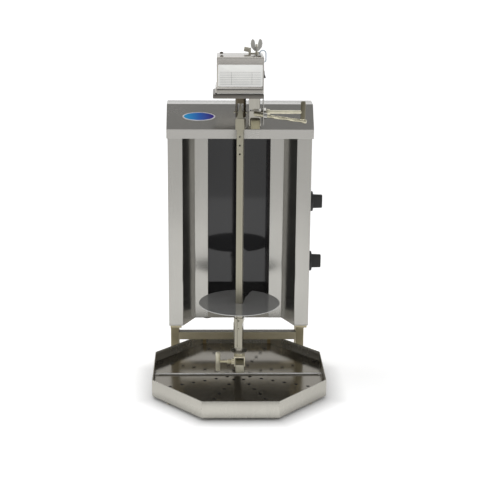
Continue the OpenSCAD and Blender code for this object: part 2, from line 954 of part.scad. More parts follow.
// Side plate with the clamp nut and the guide of the locking pin
module side_plate() {
    nut_d = 19;
    x0 = box_right + 0.5 - side_plate_t;
    x1 = box_right + 0.5;
    color([0.7, 0.69, 0.66])
        difference() {
            union() {
                box_at([x0, x1], [pin_y - 9, neck_y + neck_d], [upper_arm_z + 9, flange_z]);
                translate([x1 - eps, clamp_y, clamp_z])
                    rotate([0, 90, 0])
                        cylinder(d = nut_d, h = 7, $fn = 6);
                on_pin_axis()
                    translate([0, 0, 1])
                        cylinder(d = 13, h = 8);
            }
            translate([0, clamp_y, clamp_z])
                rod_x(x0 - eps, x1 + 8, screw_d + 2 * run);
            on_pin_axis()
                translate([0, 0, -3])
                    cylinder(d = pin_rod_d + 2 * run, h = 16);
            box_at([x0 - 5, x0], [pin_y - 12, pin_y + 12], [pin_anchor_z - 12, pin_anchor_z + 12]);
        }
}

module locking_pin() {
    color([0.78, 0.74, 0.64])
        on_pin_axis() {
            translate([0, 0, -pin_tail])
                cylinder(d = pin_rod_d, h = pin_tail + pin_len);
            translate([0, 0, pin_len - 3])
                cylinder(d = pin_rod_d + 2.5, h = 5);
        }
}

// Clamp screw along X with its grip sleeve, collar and crossbar
module t_handle(x_tip, x_grip, x_bar, d) {
    chamfer = 1;
    collar_l = 8;
    straight = t_bar_l / 2 - chamfer;
    rod_x(x_tip, x_bar, d);
    rod_x(x_grip, x_bar, d + 1.5);
    rod_x(x_grip, x_grip + collar_l, d + 5);
    translate([x_bar, 0, -straight])
        cylinder(d = t_bar_d, h = 2 * straight);
    for (s = [0, 1])
        mirror([0, 0, s])
            translate([x_bar, 0, straight])
                cylinder(d1 = t_bar_d, d2 = t_bar_d - 2 * chamfer, h = chamfer);
}

module upper_t_handle() {
    color([0.76, 0.73, 0.64])
        translate([0, clamp_y, clamp_z])
            t_handle(upper_arm_x - 5, box_right + 8.2, t_axis_x, screw_d);
}

module cover_gasket() {
    color([0.75, 0.75, 0.73])
        difference() {
            box_at([box_left, box_right], [box_y, box_y + box_d], [plate_top, box_z]);
            box_at([box_left + 4, box_right - 4], [box_y + 4, box_y + box_d - 4], [plate_top - eps, box_z + eps]);
        }
}

screw_inset = 11;
screw_end = 8;
screw_spots = [for (x = [box_left + screw_inset, box_right - screw_inset])
    for (y = [box_y + screw_inset, box_y + box_d - screw_end])
        [x, y]];
cover_screw_d = 4;
screw_head_d = 8;
screw_l = 8;
rocker_w = 10;
rocker_h = 16;
rocker_pin_d = 3;
rocker_pin_l = 1.5;
sleeve_gap = 1.5;

module motor_cover() {
    skirt_h = 11;
    skirt = 3;
    color([0.7, 0.69, 0.66])
        difference() {
            union() {
                box_at([box_left, box_right], [box_y, box_y + box_d], [box_z, box_top]);
                box_at([box_left - skirt, box_right], [box_y - 1.5, box_y + box_d], [box_z, box_z + skirt_h]);
            }
            box_at([box_left + cover_wall, box_right - cover_wall],
                [box_y + cover_wall, box_y + box_d - cover_wall], [box_z - eps, box_top - cover_wall]);
            for (p = screw_spots)
                translate([p[0], p[1], box_top - 2 * cover_wall])
                    cylinder(d = cover_screw_d + 2 * seat, h = 4 * cover_wall);
            box_at([box_right - 3, box_right + 1],
                [switch_y - rocker_w / 2 - 2 * sleeve_gap, switch_y + rocker_w / 2 + 2 * sleeve_gap],
                [switch_z - rocker_h / 2 - 2 * sleeve_gap, switch_z + rocker_h / 2 + 2 * sleeve_gap]);
        }
}

// Sealed gearbox and motor
module gear_motor() {
    side = 60;
    gear_h = 28;
    can_d = 52;
    can_h = 37;
    color([0.35, 0.36, 0.38])
        translate([spit_x, spit_y, plate_top])
            difference() {
                union() {
                    translate([-side / 2, -side / 2, 0])
                        cube([side, side, gear_h]);
                    translate([0, (side - can_d) / 2, gear_h - 1])
                        cylinder(d = can_d, h = can_h + 1);
                }
                translate([0, 0, -eps])
                    cylinder(d = shaft_d + 2 * run, h = gear_h);
            }
}

module rating_plate() {
    mid_x = (box_left + box_right) / 2;
    lift = 14;
    z0 = box_z + lift;
    color([0.93, 0.93, 0.92])
        box_at([mid_x - rating_w / 2, mid_x + rating_w / 2], [box_y - 0.6, box_y], [z0, z0 + rating_h]);
}

module cover_screws() {
    color([0.55, 0.53, 0.48])
        for (p = screw_spots)
            translate([p[0], p[1], 0]) {
                translate([0, 0, box_top])
                    cylinder(d1 = screw_head_d, d2 = 0.75 * screw_head_d, h = screw_head_d / 3);
                translate([0, 0, box_top - screw_l])
                    cylinder(d = cover_screw_d, h = screw_l + 1);
            }
}

// Switch body inside the cover and its bezel outside
module motor_switch() {
    pin_reach = rocker_w / 2 + rocker_pin_l + seat;
    color([0.06, 0.06, 0.06])
        difference() {
            union() {
                box_at([box_right, box_right + 1.2],
                    [switch_y - rocker_w / 2 - 3.5, switch_y + rocker_w / 2 + 3.5],
                    [switch_z - rocker_h / 2 - 3.5, switch_z + rocker_h / 2 + 3.5]);
                box_at([box_right - 16, box_right + 1],
                    [switch_y - rocker_w / 2 - 2.5, switch_y + rocker_w / 2 + 2.5],
                    [switch_z - rocker_h / 2 - 2.5, switch_z + rocker_h / 2 + 2.5]);
            }
            box_at([box_right - 8, box_right + 2],
                [switch_y - rocker_w / 2 - loose, switch_y + rocker_w / 2 + loose],
                [switch_z - rocker_h / 2 - sleeve_gap, switch_z + rocker_h / 2 + sleeve_gap]);
            translate([box_right - 1, switch_y, switch_z])
                rod_y(-pin_reach, pin_reach, rocker_pin_d + 2 * run);
        }
}

// Rocker with its two stub pivots
module motor_rocker() {
    h = rocker_h / 2;
    pin_reach = rocker_w / 2 + rocker_pin_l;
    color([0.04, 0.04, 0.04])
        translate([box_right - 1, switch_y, switch_z]) {
            translate([0, rocker_w / 2, 0])
                rotate([90, 0, 0])
                    linear_extrude(rocker_w)
                        polygon([[-2, h], [3.5, h], [4, 0], [6.5, -h + 1.5], [6, -h], [-2, -h]]);
            rod_y(-pin_reach, pin_reach, rocker_pin_d);
        }
}

stud_x = box_right - 15;
stud_y = box_y + box_d - 19;

// Brass earth stud and, beside it on the same foot, a barrel with its tilted tab
module earth_stud() {
    barrel_x = -15;
    color([0.75, 0.65, 0.4])
        translate([stud_x, stud_y, box_top]) {
            cylinder(d = 12, h = 2);
            cylinder(d = 5, h = 21);
            box_at([barrel_x, 0], [-3, 3], [0, 2]);
            translate([barrel_x, 0, 0])
                cylinder(d = 5.5, h = 13);
            translate([barrel_x, -1, 8])
                rotate([0, 12, 0])
                    box_at([-13, 0], [0, 2.5], [-5, 5]);
        }
}

lead_d = 2.4;

// Earth lead from the stud over the edge of the cover to its side wall
module earth_lead() {
    r = 7;
    r2 = 5;
    drop = 14;
    y = stud_y + 3;
    color([0.86, 0.88, 0.88])
        translate([box_right - 0.5, y, box_top]) {
            rotate([90, 0, 0])
                rotate_extrude(angle = 180)
                    translate([r, 0])
                        circle(d = lead_d, $fn = 24);
            translate([r, 0, -drop])
                cylinder(d = lead_d, h = drop, $fn = 24);
            translate([r - r2, 0, -drop])
                rotate([-90, 0, 0])
                    rotate_extrude(angle = 90)
                        translate([r2, 0])
                            circle(d = lead_d, $fn = 24);
            translate([0.5 + seat, 0, -drop - r2])
                rod_x(0, r - r2 - 0.5 - seat, lead_d);
        }
}

module wing_nut() {
    wing = [[3.5, 0], [7, 2], [12, 8], [13.5, 16], [12, 23], [9, 26], [5.5, 24], [3.8, 16], [3.5, 9]];
    color([0.62, 0.61, 0.58])
        translate([stud_x, stud_y, box_top + 6.5])
            rotate([0, 0, 14])
                difference() {
                    union() {
                        cylinder(d = 11, h = 8);
                        for (s = [0, 1])
                            mirror([s, 0, 0])
                                translate([0, 1.4, 0])
                                    rotate([90, 0, 0])
                                        linear_extrude(2.8)
                                            polygon(wing);
                    }
                    translate([0, 0, -eps])
                        cylinder(d = 5 + 2 * run, h = 9);
                }
}

// ---- Spit ----

tip_base = tip_z - tip_l;
bar_foot = 112;         // the square bar goes this far below the plate
bar_z = plate_z - bar_foot;
pivot_z = lower_arm_z + arm + 2.5;

// Shaft and two-pronged socket that takes the skewer's tip
module drive_socket() {
    slot = bar + 4 * seat;
    color([0.55, 0.52, 0.45])
        in_spit()
            difference() {
                union() {
                    translate([0, 0, tip_base + 0.5])
                        cylinder(d = socket_d, h = flange_z - 5 - tip_base);
                    translate([0, 0, flange_z - 6])
                        cylinder(d = shaft_d, h = plate_top + 24 - flange_z);
                }
                box_at([-slot / 2, slot / 2], [-socket_d, socket_d], [tip_base, tip_z + 2]);
                translate([0, 0, pin_z])
                    rod_x(-socket_d, socket_d, pin_d + 2 * run);
            }
}

module cross_pin() {
    color([0.7, 0.66, 0.55])
        in_spit()
            translate([0, 0, pin_z])
                rod_x(-pin_l / 2, pin_l / 2, pin_d);
}

// Pyramid point cut from two crossing wedges
module spit_tip() {
    w = bar / 2;
    wedge = [[-w, 0], [w, 0], [0.8, tip_l], [-0.8, tip_l]];
    translate([0, 0, tip_base])
        intersection() {
            rotate([90, 0, 0])
                linear_extrude(2 * bar, center = true)
                    polygon(wedge);
            rotate([90, 0, 90])
                linear_extrude(2 * bar, center = true)
                    polygon(wedge);
        }
}

module skewer() {
    collar_z = tip_base - 2 - collar_h;
    hole_d = 4.5;
    hole_drop = 16.5;
    hole_pitch = 20;
    color([0.72, 0.7, 0.63])
        in_spit()
            difference() {
                union() {
                    box_at([-bar / 2, bar / 2], [-bar / 2, bar / 2], [bar_z, tip_base]);
                    spit_tip();
                    box_at([-collar_w / 2, collar_w / 2], [-collar_w / 2, collar_w / 2],
                        [collar_z, collar_z + collar_h]);
                    translate([0, 0, pivot_z])
                        cylinder(d = pivot_d, h = bar_z - pivot_z + 1);
                }
                translate([0, 0, pin_z])
                    rod_x(-bar, bar, pin_d + 2 * run);
                for (k = [0 : 2])
                    translate([0, 0, collar_z - hole_drop - hole_pitch * k])
                        rod_y(-bar, bar, hole_d);
            }
}

sleeve_bore = bar + 2 * loose;

module plate_sleeve() {
    ring_w = sleeve_w + 4;
    ring_h = 11;
    ring_drop = 45;
    screw_hole = 5;
    peg_hole = 4;
    peg_drop = 60;
    top = plate_z - plate_t - seat;
    ring_z = top - ring_drop;
    color([0.7, 0.68, 0.62])
        in_spit()
            difference() {
                union() {
                    box_at([-sleeve_w / 2, sleeve_w / 2], [-sleeve_w / 2, sleeve_w / 2], [bar_z, top]);
                    box_at([-ring_w / 2, ring_w / 2], [-ring_w / 2, ring_w / 2], [ring_z, ring_z + ring_h]);
                }
                box_at([-sleeve_bore / 2, sleeve_bore / 2], [-sleeve_bore / 2, sleeve_bore / 2],
                    [bar_z - eps, top + eps]);
                translate([0, 0, top - peg_drop])
                    rod_y(-ring_w, 0, peg_hole);
                translate([0, 0, ring_z + ring_h / 2])
                    rod_y(-ring_w, 0, screw_hole);
            }
}

module meat_plate() {
    slot = sleeve_bore + 2 * loose;
    color([0.7, 0.7, 0.7])
        in_spit()
            translate([0, 0, plate_z - plate_t])
                difference() {
                    cylinder(r = plate_r, h = plate_t, $fn = 96);
                    box_at([-slot / 2, slot / 2], [-slot / 2, plate_r + 1], [-eps, plate_t + eps]);
                }
}

bush_top = lower_arm_z + arm + 11.2;

module drip_dish() {
    hub_top = bar_z - seat;
    hub_z = bush_top + seat;
    rim = hub_z + 6;
    r0 = pivot_d / 2 + run;
    color([0.66, 0.63, 0.55])
        in_spit()
            rotate_extrude()
                polygon([[r0, hub_z], [7, hub_z], [dish_r, rim], [dish_r, rim + 1.5], [9, hub_z + 3.2],
                    [9, hub_top], [r0, hub_top]]);
}

// ---- Lower slider ----

slider_top = lower_arm_z + arm + 7.5;

module lower_slider() {
    in_x = arm / 2 + slider_gap;
    cheek = 2.5;
    y0 = spit_y - 15.5;
    y1 = spit_y + 15.5;
    z0 = lower_arm_z + 3.5;
    nut_d = 15;
    color([0.72, 0.7, 0.62])
        difference() {
            union() {
                box_at([-in_x - cheek, in_x + cheek], [y0, y1], [z0, slider_top]);
                translate([-in_x - cheek + eps, spit_y, lower_screw_z])
                    rotate([0, -90, 0])
                        cylinder(d = nut_d, h = 6.5, $fn = 6);
                translate([spit_x, spit_y, slider_top - 1])
                    cylinder(d = 15, h = bush_top - slider_top + 1);
            }
            box_at([-in_x, in_x], [y0 - eps, y1 + eps], [z0 - eps, lower_arm_z + arm + slider_gap]);
            box_at([-in_x, in_x], [y0 - eps, y1 - 8], [lower_arm_z + arm, slider_top - 3]);
            translate([spit_x, spit_y, slider_top - 6])
                cylinder(d = pivot_d + 2 * run, h = 12);
            translate([0, spit_y, lower_screw_z])
                rod_x(-in_x - cheek - 8, 0, lower_screw_d + 2 * run);
        }
}

module lower_t_handle() {
    color([0.78, 0.74, 0.62])
        translate([0, spit_y, lower_screw_z])
            mirror([1, 0, 0])
                t_handle(arm / 2 + seat, arm / 2 + 11, -lower_t_x, lower_screw_d);
}

// ---- Knobs ----

module knob(z) {
    x0 = half + loose + 0.2;
    grip_w = 12;
    color([0.05, 0.05, 0.05])
        translate([0, knob_y, z]) {
            rod_x(half - sheet - spindle_depth + 1, x0 + 2, spindle_d);
            translate([x0, 0, 0])
                rotate([0, 90, 0])
                    cylinder(d1 = knob_d, d2 = knob_d - 3, h = skirt_t);
            translate([x0 + skirt_t - 1, 0, 0])
                rotate([0, 90, 0])
                    intersection() {
                        cylinder(d1 = grip_l + 1, d2 = grip_l - 1, h = grip_t + 1);
                        translate([-grip_l, -grip_w / 2, 0])
                            cube([2 * grip_l, grip_w, grip_t + 1]);
                    }
        }
}

module upper_knob() {
    knob(upper_knob_z);
}

module lower_knob() {
    knob(lower_knob_z);
}

tray_pan();
front_cover();
rear_cover();
front_legs();
rear_posts();
crossbar();
rear_tie();
side_rails();
floor_runners();
rubber_pads();
lower_arm();
upper_arm();
arm_caps();
upper_arm_bracket();
left_front();
right_front();
left_side_panel();
right_side_panel();
sill_band();
bottom_panel();
back_panel();
roof_deck();
recess_liner();
heater_glass();
glass_clips();
heater_box();
insulation_board();
upper_element();
lower_element();
regulators();
terminal_block();
cable_gland();
wiring_loom();
hood();
hood_badge();
carriage_plate();
carriage_neck();
side_plate();
cover_gasket();
motor_cover();
gear_motor();
rating_plate();
cover_screws();
motor_switch();
motor_rocker();
earth_stud();
earth_lead();
wing_nut();
upper_t_handle();
locking_pin();
drive_socket();
cross_pin();
skewer();
plate_sleeve();
meat_plate();
drip_dish();
lower_slider();
lower_t_handle();
upper_knob();
lower_knob();
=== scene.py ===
import json
import math

import bmesh
import bpy
from mathutils import Matrix, Vector

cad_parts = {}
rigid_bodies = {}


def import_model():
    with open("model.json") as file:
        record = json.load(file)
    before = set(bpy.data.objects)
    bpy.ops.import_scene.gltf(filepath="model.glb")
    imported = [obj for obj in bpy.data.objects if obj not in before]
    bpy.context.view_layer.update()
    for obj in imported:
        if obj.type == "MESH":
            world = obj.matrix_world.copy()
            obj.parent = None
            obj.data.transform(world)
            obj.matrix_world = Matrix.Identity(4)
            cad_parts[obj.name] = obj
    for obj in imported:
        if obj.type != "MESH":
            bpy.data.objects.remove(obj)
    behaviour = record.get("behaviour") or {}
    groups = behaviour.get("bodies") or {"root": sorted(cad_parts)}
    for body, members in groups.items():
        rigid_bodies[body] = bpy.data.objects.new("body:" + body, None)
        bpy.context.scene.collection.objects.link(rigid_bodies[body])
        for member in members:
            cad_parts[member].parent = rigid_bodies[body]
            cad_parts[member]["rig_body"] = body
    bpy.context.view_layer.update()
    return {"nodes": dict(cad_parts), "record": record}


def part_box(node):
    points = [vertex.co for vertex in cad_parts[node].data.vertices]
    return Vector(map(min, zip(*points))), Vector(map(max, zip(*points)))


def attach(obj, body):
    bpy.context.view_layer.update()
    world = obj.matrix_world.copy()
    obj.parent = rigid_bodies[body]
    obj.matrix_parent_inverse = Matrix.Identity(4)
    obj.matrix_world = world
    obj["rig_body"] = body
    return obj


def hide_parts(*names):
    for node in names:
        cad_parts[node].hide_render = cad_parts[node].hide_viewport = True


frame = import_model()
nodes = frame["nodes"]
slotOf = {part["node"]: part["material_slot"] for part in frame["record"]["subparts"]}
mm = 0.001  # the pieces are given in mm, Blender is in metres
print("frame loaded:", len(nodes), "nodes")

# the photograph's angle, 15.7 degrees down: place in metres, turn in degrees
shot = {"place": (-0.06597, -2.7484, 1.1394), "turn": (74.2896, -0.3869, -1.2938), "lens": 90.307,
        "sensor": 36}
camData = bpy.data.cameras.new("studioCamera")
camData.lens = shot["lens"]
camData.sensor_width = shot["sensor"]
camera = bpy.data.objects.new("studioCamera", camData)
camera.location = shot["place"]
camera.rotation_euler = [math.radians(angle) for angle in shot["turn"]]
bpy.context.scene.collection.objects.link(camera)
bpy.context.scene.camera = camera
bpy.context.scene.view_settings.view_transform = "Standard"
print("camera set")


def newFinish(name, **sockets):
    finish = bpy.data.materials.new(name)
    finish.use_nodes = True
    tree = finish.node_tree
    shader = tree.nodes["Principled BSDF"]
    for socket, value in sockets.items():
        shader.inputs[socket].default_value = value
    place = tree.nodes.new("ShaderNodeTexCoord").outputs["Object"]
    return finish, tree, shader, place


def feed(tree, value, socket):
    # a socket takes another node's output or a plain value
    if isinstance(value, bpy.types.NodeSocket):
        tree.links.new(value, socket)
    elif value is not None:
        socket.default_value = value


def maths(tree, kind, first, second=None):
    node = tree.nodes.new("ShaderNodeMath")
    node.operation = kind
    feed(tree, first, node.inputs[0])
    feed(tree, second, node.inputs[1])
    return node.outputs["Value"]


def mixOf(tree, share, first, second):
    mix = tree.nodes.new("ShaderNodeMix")
    mix.data_type = "RGBA"
    feed(tree, share, mix.inputs["Factor"])
    feed(tree, first, mix.inputs["A"])
    feed(tree, second, mix.inputs["B"])
    return mix.outputs["Result"]


def axesOf(tree, source):
    parts = tree.nodes.new("ShaderNodeSeparateXYZ")
    tree.links.new(source, parts.inputs["Vector"])
    return parts.outputs


def mapped(tree, place, kind="POINT", **sockets):
    mapping = tree.nodes.new("ShaderNodeMapping")
    mapping.vector_type = kind
    for socket, value in sockets.items():
        mapping.inputs[socket].default_value = value
    tree.links.new(place, mapping.inputs["Vector"])
    return mapping.outputs["Vector"]


def grainNoise(tree, place, stretch, scale, detail=4.0):
    noise = tree.nodes.new("ShaderNodeTexNoise")
    noise.inputs["Scale"].default_value = scale
    noise.inputs["Detail"].default_value = detail
    noise.inputs["Roughness"].default_value = 0.6
    tree.links.new(mapped(tree, place, Scale=stretch), noise.inputs["Vector"])
    return noise.outputs["Fac"]


def rampOf(tree, source, stops):
    ramp = tree.nodes.new("ShaderNodeValToRGB")
    while len(ramp.color_ramp.elements) < len(stops):
        ramp.color_ramp.elements.new(0.5)
    for element, (at, colour) in zip(ramp.color_ramp.elements, stops):
        element.position = at
        element.color = (*colour, 1)
    tree.links.new(source, ramp.inputs["Fac"])
    return ramp.outputs["Color"]


def spanOf(tree, source, low, high, start=0.3, end=0.7):
    span = tree.nodes.new("ShaderNodeMapRange")
    span.inputs["From Min"].default_value = start
    span.inputs["From Max"].default_value = end
    span.inputs["To Min"].default_value = low
    span.inputs["To Max"].default_value = high
    tree.links.new(source, span.inputs["Value"])
    return span.outputs["Result"]


def shade(colour, factor):
    return tuple(min(1.0, c * factor) for c in colour)


def tintBy(tree, shader, source, stops):
    tree.links.new(rampOf(tree, source, stops), shader.inputs["Base Color"])


def roughBy(tree, shader, source, low, high):
    tree.links.new(spanOf(tree, source, low, high), shader.inputs["Roughness"])


def bumpFrom(tree, shader, source, strength, distance):
    bump = tree.nodes.new("ShaderNodeBump")
    bump.inputs["Strength"].default_value = strength
    bump.inputs["Distance"].default_value = distance
    tree.links.new(source, bump.inputs["Height"])
    tree.links.new(bump.outputs["Normal"], shader.inputs["Normal"])


# which way a sheet's brushing runs; even has no direction
alongX, alongY, alongZ, even = (0.02, 1, 1), (1, 0.02, 1), (1, 1, 0.02), (1, 1, 1)

brushing = {"fine": 2600, "broad": 160, "smudge": 14, "smudgeRough": 0.03, "depth": 0.0002}


def brushedSteel(name, colour, rough, grain=alongZ, streak=0.05, spread=0.05, bump=0.12, metal=1.0):
    finish, tree, shader, place = newFinish(name, Metallic=metal)
    fine = grainNoise(tree, place, grain, brushing["fine"])
    broad = grainNoise(tree, place, grain, brushing["broad"], 5)
    smudge = grainNoise(tree, place, even, brushing["smudge"], 3)
    tintBy(tree, shader, broad, [(0.3, shade(colour, 1 - streak)), (0.7, shade(colour, 1 + streak))])
    scratches = spanOf(tree, fine, rough - spread, rough + spread)
    handling = spanOf(tree, smudge, -brushing["smudgeRough"], brushing["smudgeRough"])
    tree.links.new(maths(tree, "ADD", scratches, handling), shader.inputs["Roughness"])
    bumpFrom(tree, shader, fine, bump, brushing["depth"])
    return finish


turning = {"rings": 260, "wander": 1.5, "smudge": 22, "bump": 0.03, "depth": 0.0001}


def turnedSteel(name, colour, rough, centre, metal):
    # the brushing runs in circles round the spit
    finish, tree, shader, place = newFinish(name, Metallic=metal)
    rings = tree.nodes.new("ShaderNodeTexWave")
    rings.wave_type = "RINGS"
    rings.rings_direction = "Z"
    rings.inputs["Scale"].default_value = turning["rings"]
    rings.inputs["Distortion"].default_value = turning["wander"]
    rings.inputs["Detail"].default_value = 3
    tree.links.new(mapped(tree, place, Location=[-c for c in centre]), rings.inputs["Vector"])
    smudge = grainNoise(tree, place, even, turning["smudge"], 4)
    tintBy(tree, shader, smudge, [(0.3, shade(colour, 0.95)), (0.7, shade(colour, 1.04))])
    roughBy(tree, shader, smudge, rough * 0.7, rough * 1.3)
    bumpFrom(tree, shader, rings.outputs["Fac"], turning["bump"], turning["depth"])
    return finish


casting = {"grit": 700, "patches": 60, "bump": 0.25, "depth": 0.0002}


def castMetal(name, colour, rough, metal=1.0):
    finish, tree, shader, place = newFinish(name, Metallic=metal)
    fine = grainNoise(tree, place, even, casting["grit"])
    patches = grainNoise(tree, place, even, casting["patches"], 4)
    tintBy(tree, shader, patches, [(0.32, shade(colour, 0.85)), (0.68, shade(colour, 1.08))])
    roughBy(tree, shader, patches, rough - 0.06, rough + 0.08)
    bumpFrom(tree, shader, fine, casting["bump"], casting["depth"])
    return finish


moulding = {"patches": 40, "bump": 0.3, "depth": 0.0001}


def mouldedPlastic(name, colour, rough, grit=1500, vary=0.1):
    finish, tree, shader, place = newFinish(name)
    fine = grainNoise(tree, place, even, grit)
    patches = grainNoise(tree, place, even, moulding["patches"], 3)
    tintBy(tree, shader, patches, [(0.3, shade(colour, 1 - vary)), (0.7, shade(colour, 1 + vary))])
    roughBy(tree, shader, patches, rough - 0.05, rough + 0.06)
    bumpFrom(tree, shader, fine, moulding["bump"], moulding["depth"])
    return finish


glass = {"refraction": 1.5, "haze": 9, "hazeStretch": (1, 1, 0.3), "rough": (0.02, 0.06),
         "blacks": [(0.35, (0.012, 0.012, 0.013)), (0.65, (0.017, 0.017, 0.019))]}


def darkGlass(name):
    finish, tree, shader, place = newFinish(name, IOR=glass["refraction"])
    haze = grainNoise(tree, place, glass["hazeStretch"], glass["haze"], 3)
    tintBy(tree, shader, haze, glass["blacks"])
    roughBy(tree, shader, haze, *glass["rough"])
    return finish


# long and short: half axes in mm. rim: the share of them over which the blue gives way to white.
badge = {"long": 38, "short": 11, "rim": (0.9, 0.93), "rough": 0.22, "coat": 0.6, "speck": 900, "bump": 0.05,
         "blues": [(0.08, (0.015, 0.36, 0.72)), (0.5, (0.012, 0.13, 0.55)), (0.92, (0.035, 0.01, 0.26))],
         "whites": [(0.3, (0.78, 0.78, 0.8)), (0.7, (0.88, 0.88, 0.88))]}


def badgeEnamel(name, centre, slope):
    # white rim, then blue that runs from light on the left to indigo on the right
    finish, tree, shader, place = newFinish(name, Roughness=badge["rough"])
    shader.inputs["Coat Weight"].default_value = badge["coat"]
    reach = (badge["long"] * mm, badge["short"] * mm, 1)
    axes = axesOf(tree, mapped(tree, place, "TEXTURE", Location=centre, Rotation=(slope, 0, 0), Scale=reach))
    flat = tree.nodes.new("ShaderNodeCombineXYZ")
    tree.links.new(axes["X"], flat.inputs["X"])
    tree.links.new(axes["Y"], flat.inputs["Y"])
    radius = tree.nodes.new("ShaderNodeVectorMath")
    radius.operation = "LENGTH"
    tree.links.new(flat.outputs["Vector"], radius.inputs[0])
    onRim = spanOf(tree, radius.outputs["Value"], 0, 1, *badge["rim"])
    field = rampOf(tree, spanOf(tree, axes["X"], 0, 1, -1, 1), badge["blues"])
    speck = grainNoise(tree, place, even, badge["speck"])
    enamel = mixOf(tree, onRim, field, rampOf(tree, speck, badge["whites"]))
    tree.links.new(enamel, shader.inputs["Base Color"])
    bumpFrom(tree, shader, speck, badge["bump"], 0.0001)
    return finish


def newPiece(name, work, sharp=35):
    bmesh.ops.recalc_face_normals(work, faces=work.faces)
    mesh = bpy.data.meshes.new(name)
    work.to_mesh(mesh)
    work.free()
    mesh.shade_smooth()
    mesh.set_sharp_from_angle(angle=math.radians(sharp))
    piece = bpy.data.objects.new(name, mesh)
    bpy.context.scene.collection.objects.link(piece)
    return piece


def fit(piece, nodeName, finish=None):
    # the piece stands for its node: same body, and the finish of the node's slot unless another finish is
    # given
    slot = slotOf[nodeName]
    piece.data.materials.clear()
    piece.data.materials.append(finish or finishes[slot])
    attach(piece, nodes[nodeName]["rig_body"])
    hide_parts(nodeName)
    return piece


def paintFaces(piece, finish, chosen):
    # gives some faces of a piece one more finish, and hands back their middles
    piece.data.materials.append(finish)
    faces = [face for face in piece.data.polygons if chosen(face)]
    for face in faces:
        face.material_index = len(piece.data.materials) - 1
    return [face.center.copy() for face in faces]


def roundEdges(piece, width, segments=3, angle=35):
    bevel = piece.modifiers.new("edges", "BEVEL")
    bevel.width = width * mm
    bevel.segments = segments
    bevel.limit_method = "ANGLE"
    bevel.angle_limit = math.radians(angle)
    bevel.harden_normals = True
    return piece


def boxInMm(nodeName):
    return [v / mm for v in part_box(nodeName)]


def weldedMesh(nodeName):
    work = bmesh.new()
    work.from_mesh(nodes[nodeName].data)
    bmesh.ops.remove_doubles(work, verts=work.verts, dist=0.000004)
    return work


def copyOf(nodeName, name):
    # the CAD node's own mesh, with its flat faces made whole
    work = weldedMesh(nodeName)
    bmesh.ops.dissolve_limit(work, angle_limit=math.radians(0.5), verts=work.verts, edges=work.edges)
    return newPiece(name, work)


def skin(work, rings, capStart=True, capEnd=True):
    loops = [[work.verts.new(p) for p in ring] for ring in rings]
    for a, b in zip(loops, loops[1:]):
        for i in range(len(a)):
            j = (i + 1) % len(a)
            work.faces.new((a[i], a[j], b[j], b[i]))
    if capStart:
        work.faces.new(loops[0])
    if capEnd:
        work.faces.new(loops[-1])
    return loops


def openShell(name, outerRings, innerRings, sharp):
    # a folded sheet cover, open underneath, where its outside and inside meet in a rim
    work = bmesh.new()
    outer = skin(work, outerRings, capStart=False)[0]
    inner = skin(work, innerRings, capStart=False)[0]
    for i in range(len(outer)):
        j = (i + 1) % len(outer)
        work.faces.new((outer[i], outer[j], inner[j], inner[i]))
    return newPiece(name, work, sharp)


def roundTurn(steps):
    turn = [2 * math.pi * k / steps for k in range(steps)]
    return [(math.cos(a), math.sin(a)) for a in turn]


def lathe(work, profile, place=Matrix(), steps=48):
    # profile: (radius, height) in mm, turned about local Z
    rings = []
    for radius, height in profile:
        ring = [Vector((radius * c * mm, radius * s * mm, height * mm)) for c, s in roundTurn(steps)]
        rings.append([place @ p for p in ring])
    skin(work, rings)


def corner(a, b, c, radius, steps=4):
    # the arc that rounds b, between its neighbours a and c
    u, v = (a - b).normalized(), (c - b).normalized()
    bend = u.angle(v)
    if math.pi - bend < 0.01:
        return [b]
    reach = radius / math.tan(bend / 2)
    middle = b + (u + v).normalized() * radius / math.sin(bend / 2)
    start, end = b + u * reach - middle, b + v * reach - middle
    turn = start.angle_signed(end)
    spun = []
    for k in range(steps + 1):
        part = start.copy()
        part.rotate(Matrix.Rotation(-turn * k / steps, 2))
        spun.append(middle + part)
    return spun


def rounded(points, radius, steps=4, closed=True):
    flat = [Vector(p) for p in points]
    count = len(flat)
    out = []
    for i, p in enumerate(flat):
        if not closed and i in (0, count - 1):
            out.append(p)
        else:
            out += corner(flat[i - 1], p, flat[(i + 1) % count], radius, steps)
    return out


def roundedBox(left, low, right, high, radius, steps=5):
    return rounded([(left, low), (right, low), (right, high), (left, high)], radius, steps)


def thickened(path, thickness):
    # a sheet's outline: the path, and back along it at the sheet's thickness
    back = []
    for i, p in enumerate(path):
        before = (p - path[i - 1]).normalized() if i else None
        after = (path[i + 1] - p).normalized() if i + 1 < len(path) else None
        if before is None or after is None:
            along = before or after
            back.append(p + Vector((-along.y, along.x)) * thickness)
            continue
        n1, n2 = Vector((-before.y, before.x)), Vector((-after.y, after.x))
        back.append(p + (n1 + n2) * thickness / (1 + n1.dot(n2)))
    return list(path) + back[::-1]


def cut(piece, cutterWork, sharp=35):
    # takes a shape out of a piece for good, and leaves no cutter behind
    cutter = newPiece("cutter", cutterWork)
    opening = piece.modifiers.new("opening", "BOOLEAN")
    opening.object = cutter
    opening.operation = "DIFFERENCE"
    opening.solver = "EXACT"
    ready = piece.evaluated_get(bpy.context.evaluated_depsgraph_get())
    mesh = bpy.data.meshes.new_from_object(ready)
    piece.modifiers.remove(opening)
    piece.data = mesh
    bpy.data.objects.remove(cutter)
    mesh.set_sharp_from_angle(angle=math.radians(sharp))


def block(work, low, high):
    ends = [Vector(low) * mm, Vector(high) * mm]
    rings = []
    for z in (ends[0].z, ends[1].z):
        rings.append([Vector((ends[i].x, ends[j].y, z)) for i, j in ((0, 0), (1, 0), (1, 1), (0, 1))])
    skin(work, rings)


def aimed(origin, direction):
    turn = Vector(direction).to_track_quat("Z", "Y").to_matrix().to_4x4()
    return Matrix.Translation(Vector(origin) * mm) @ turn


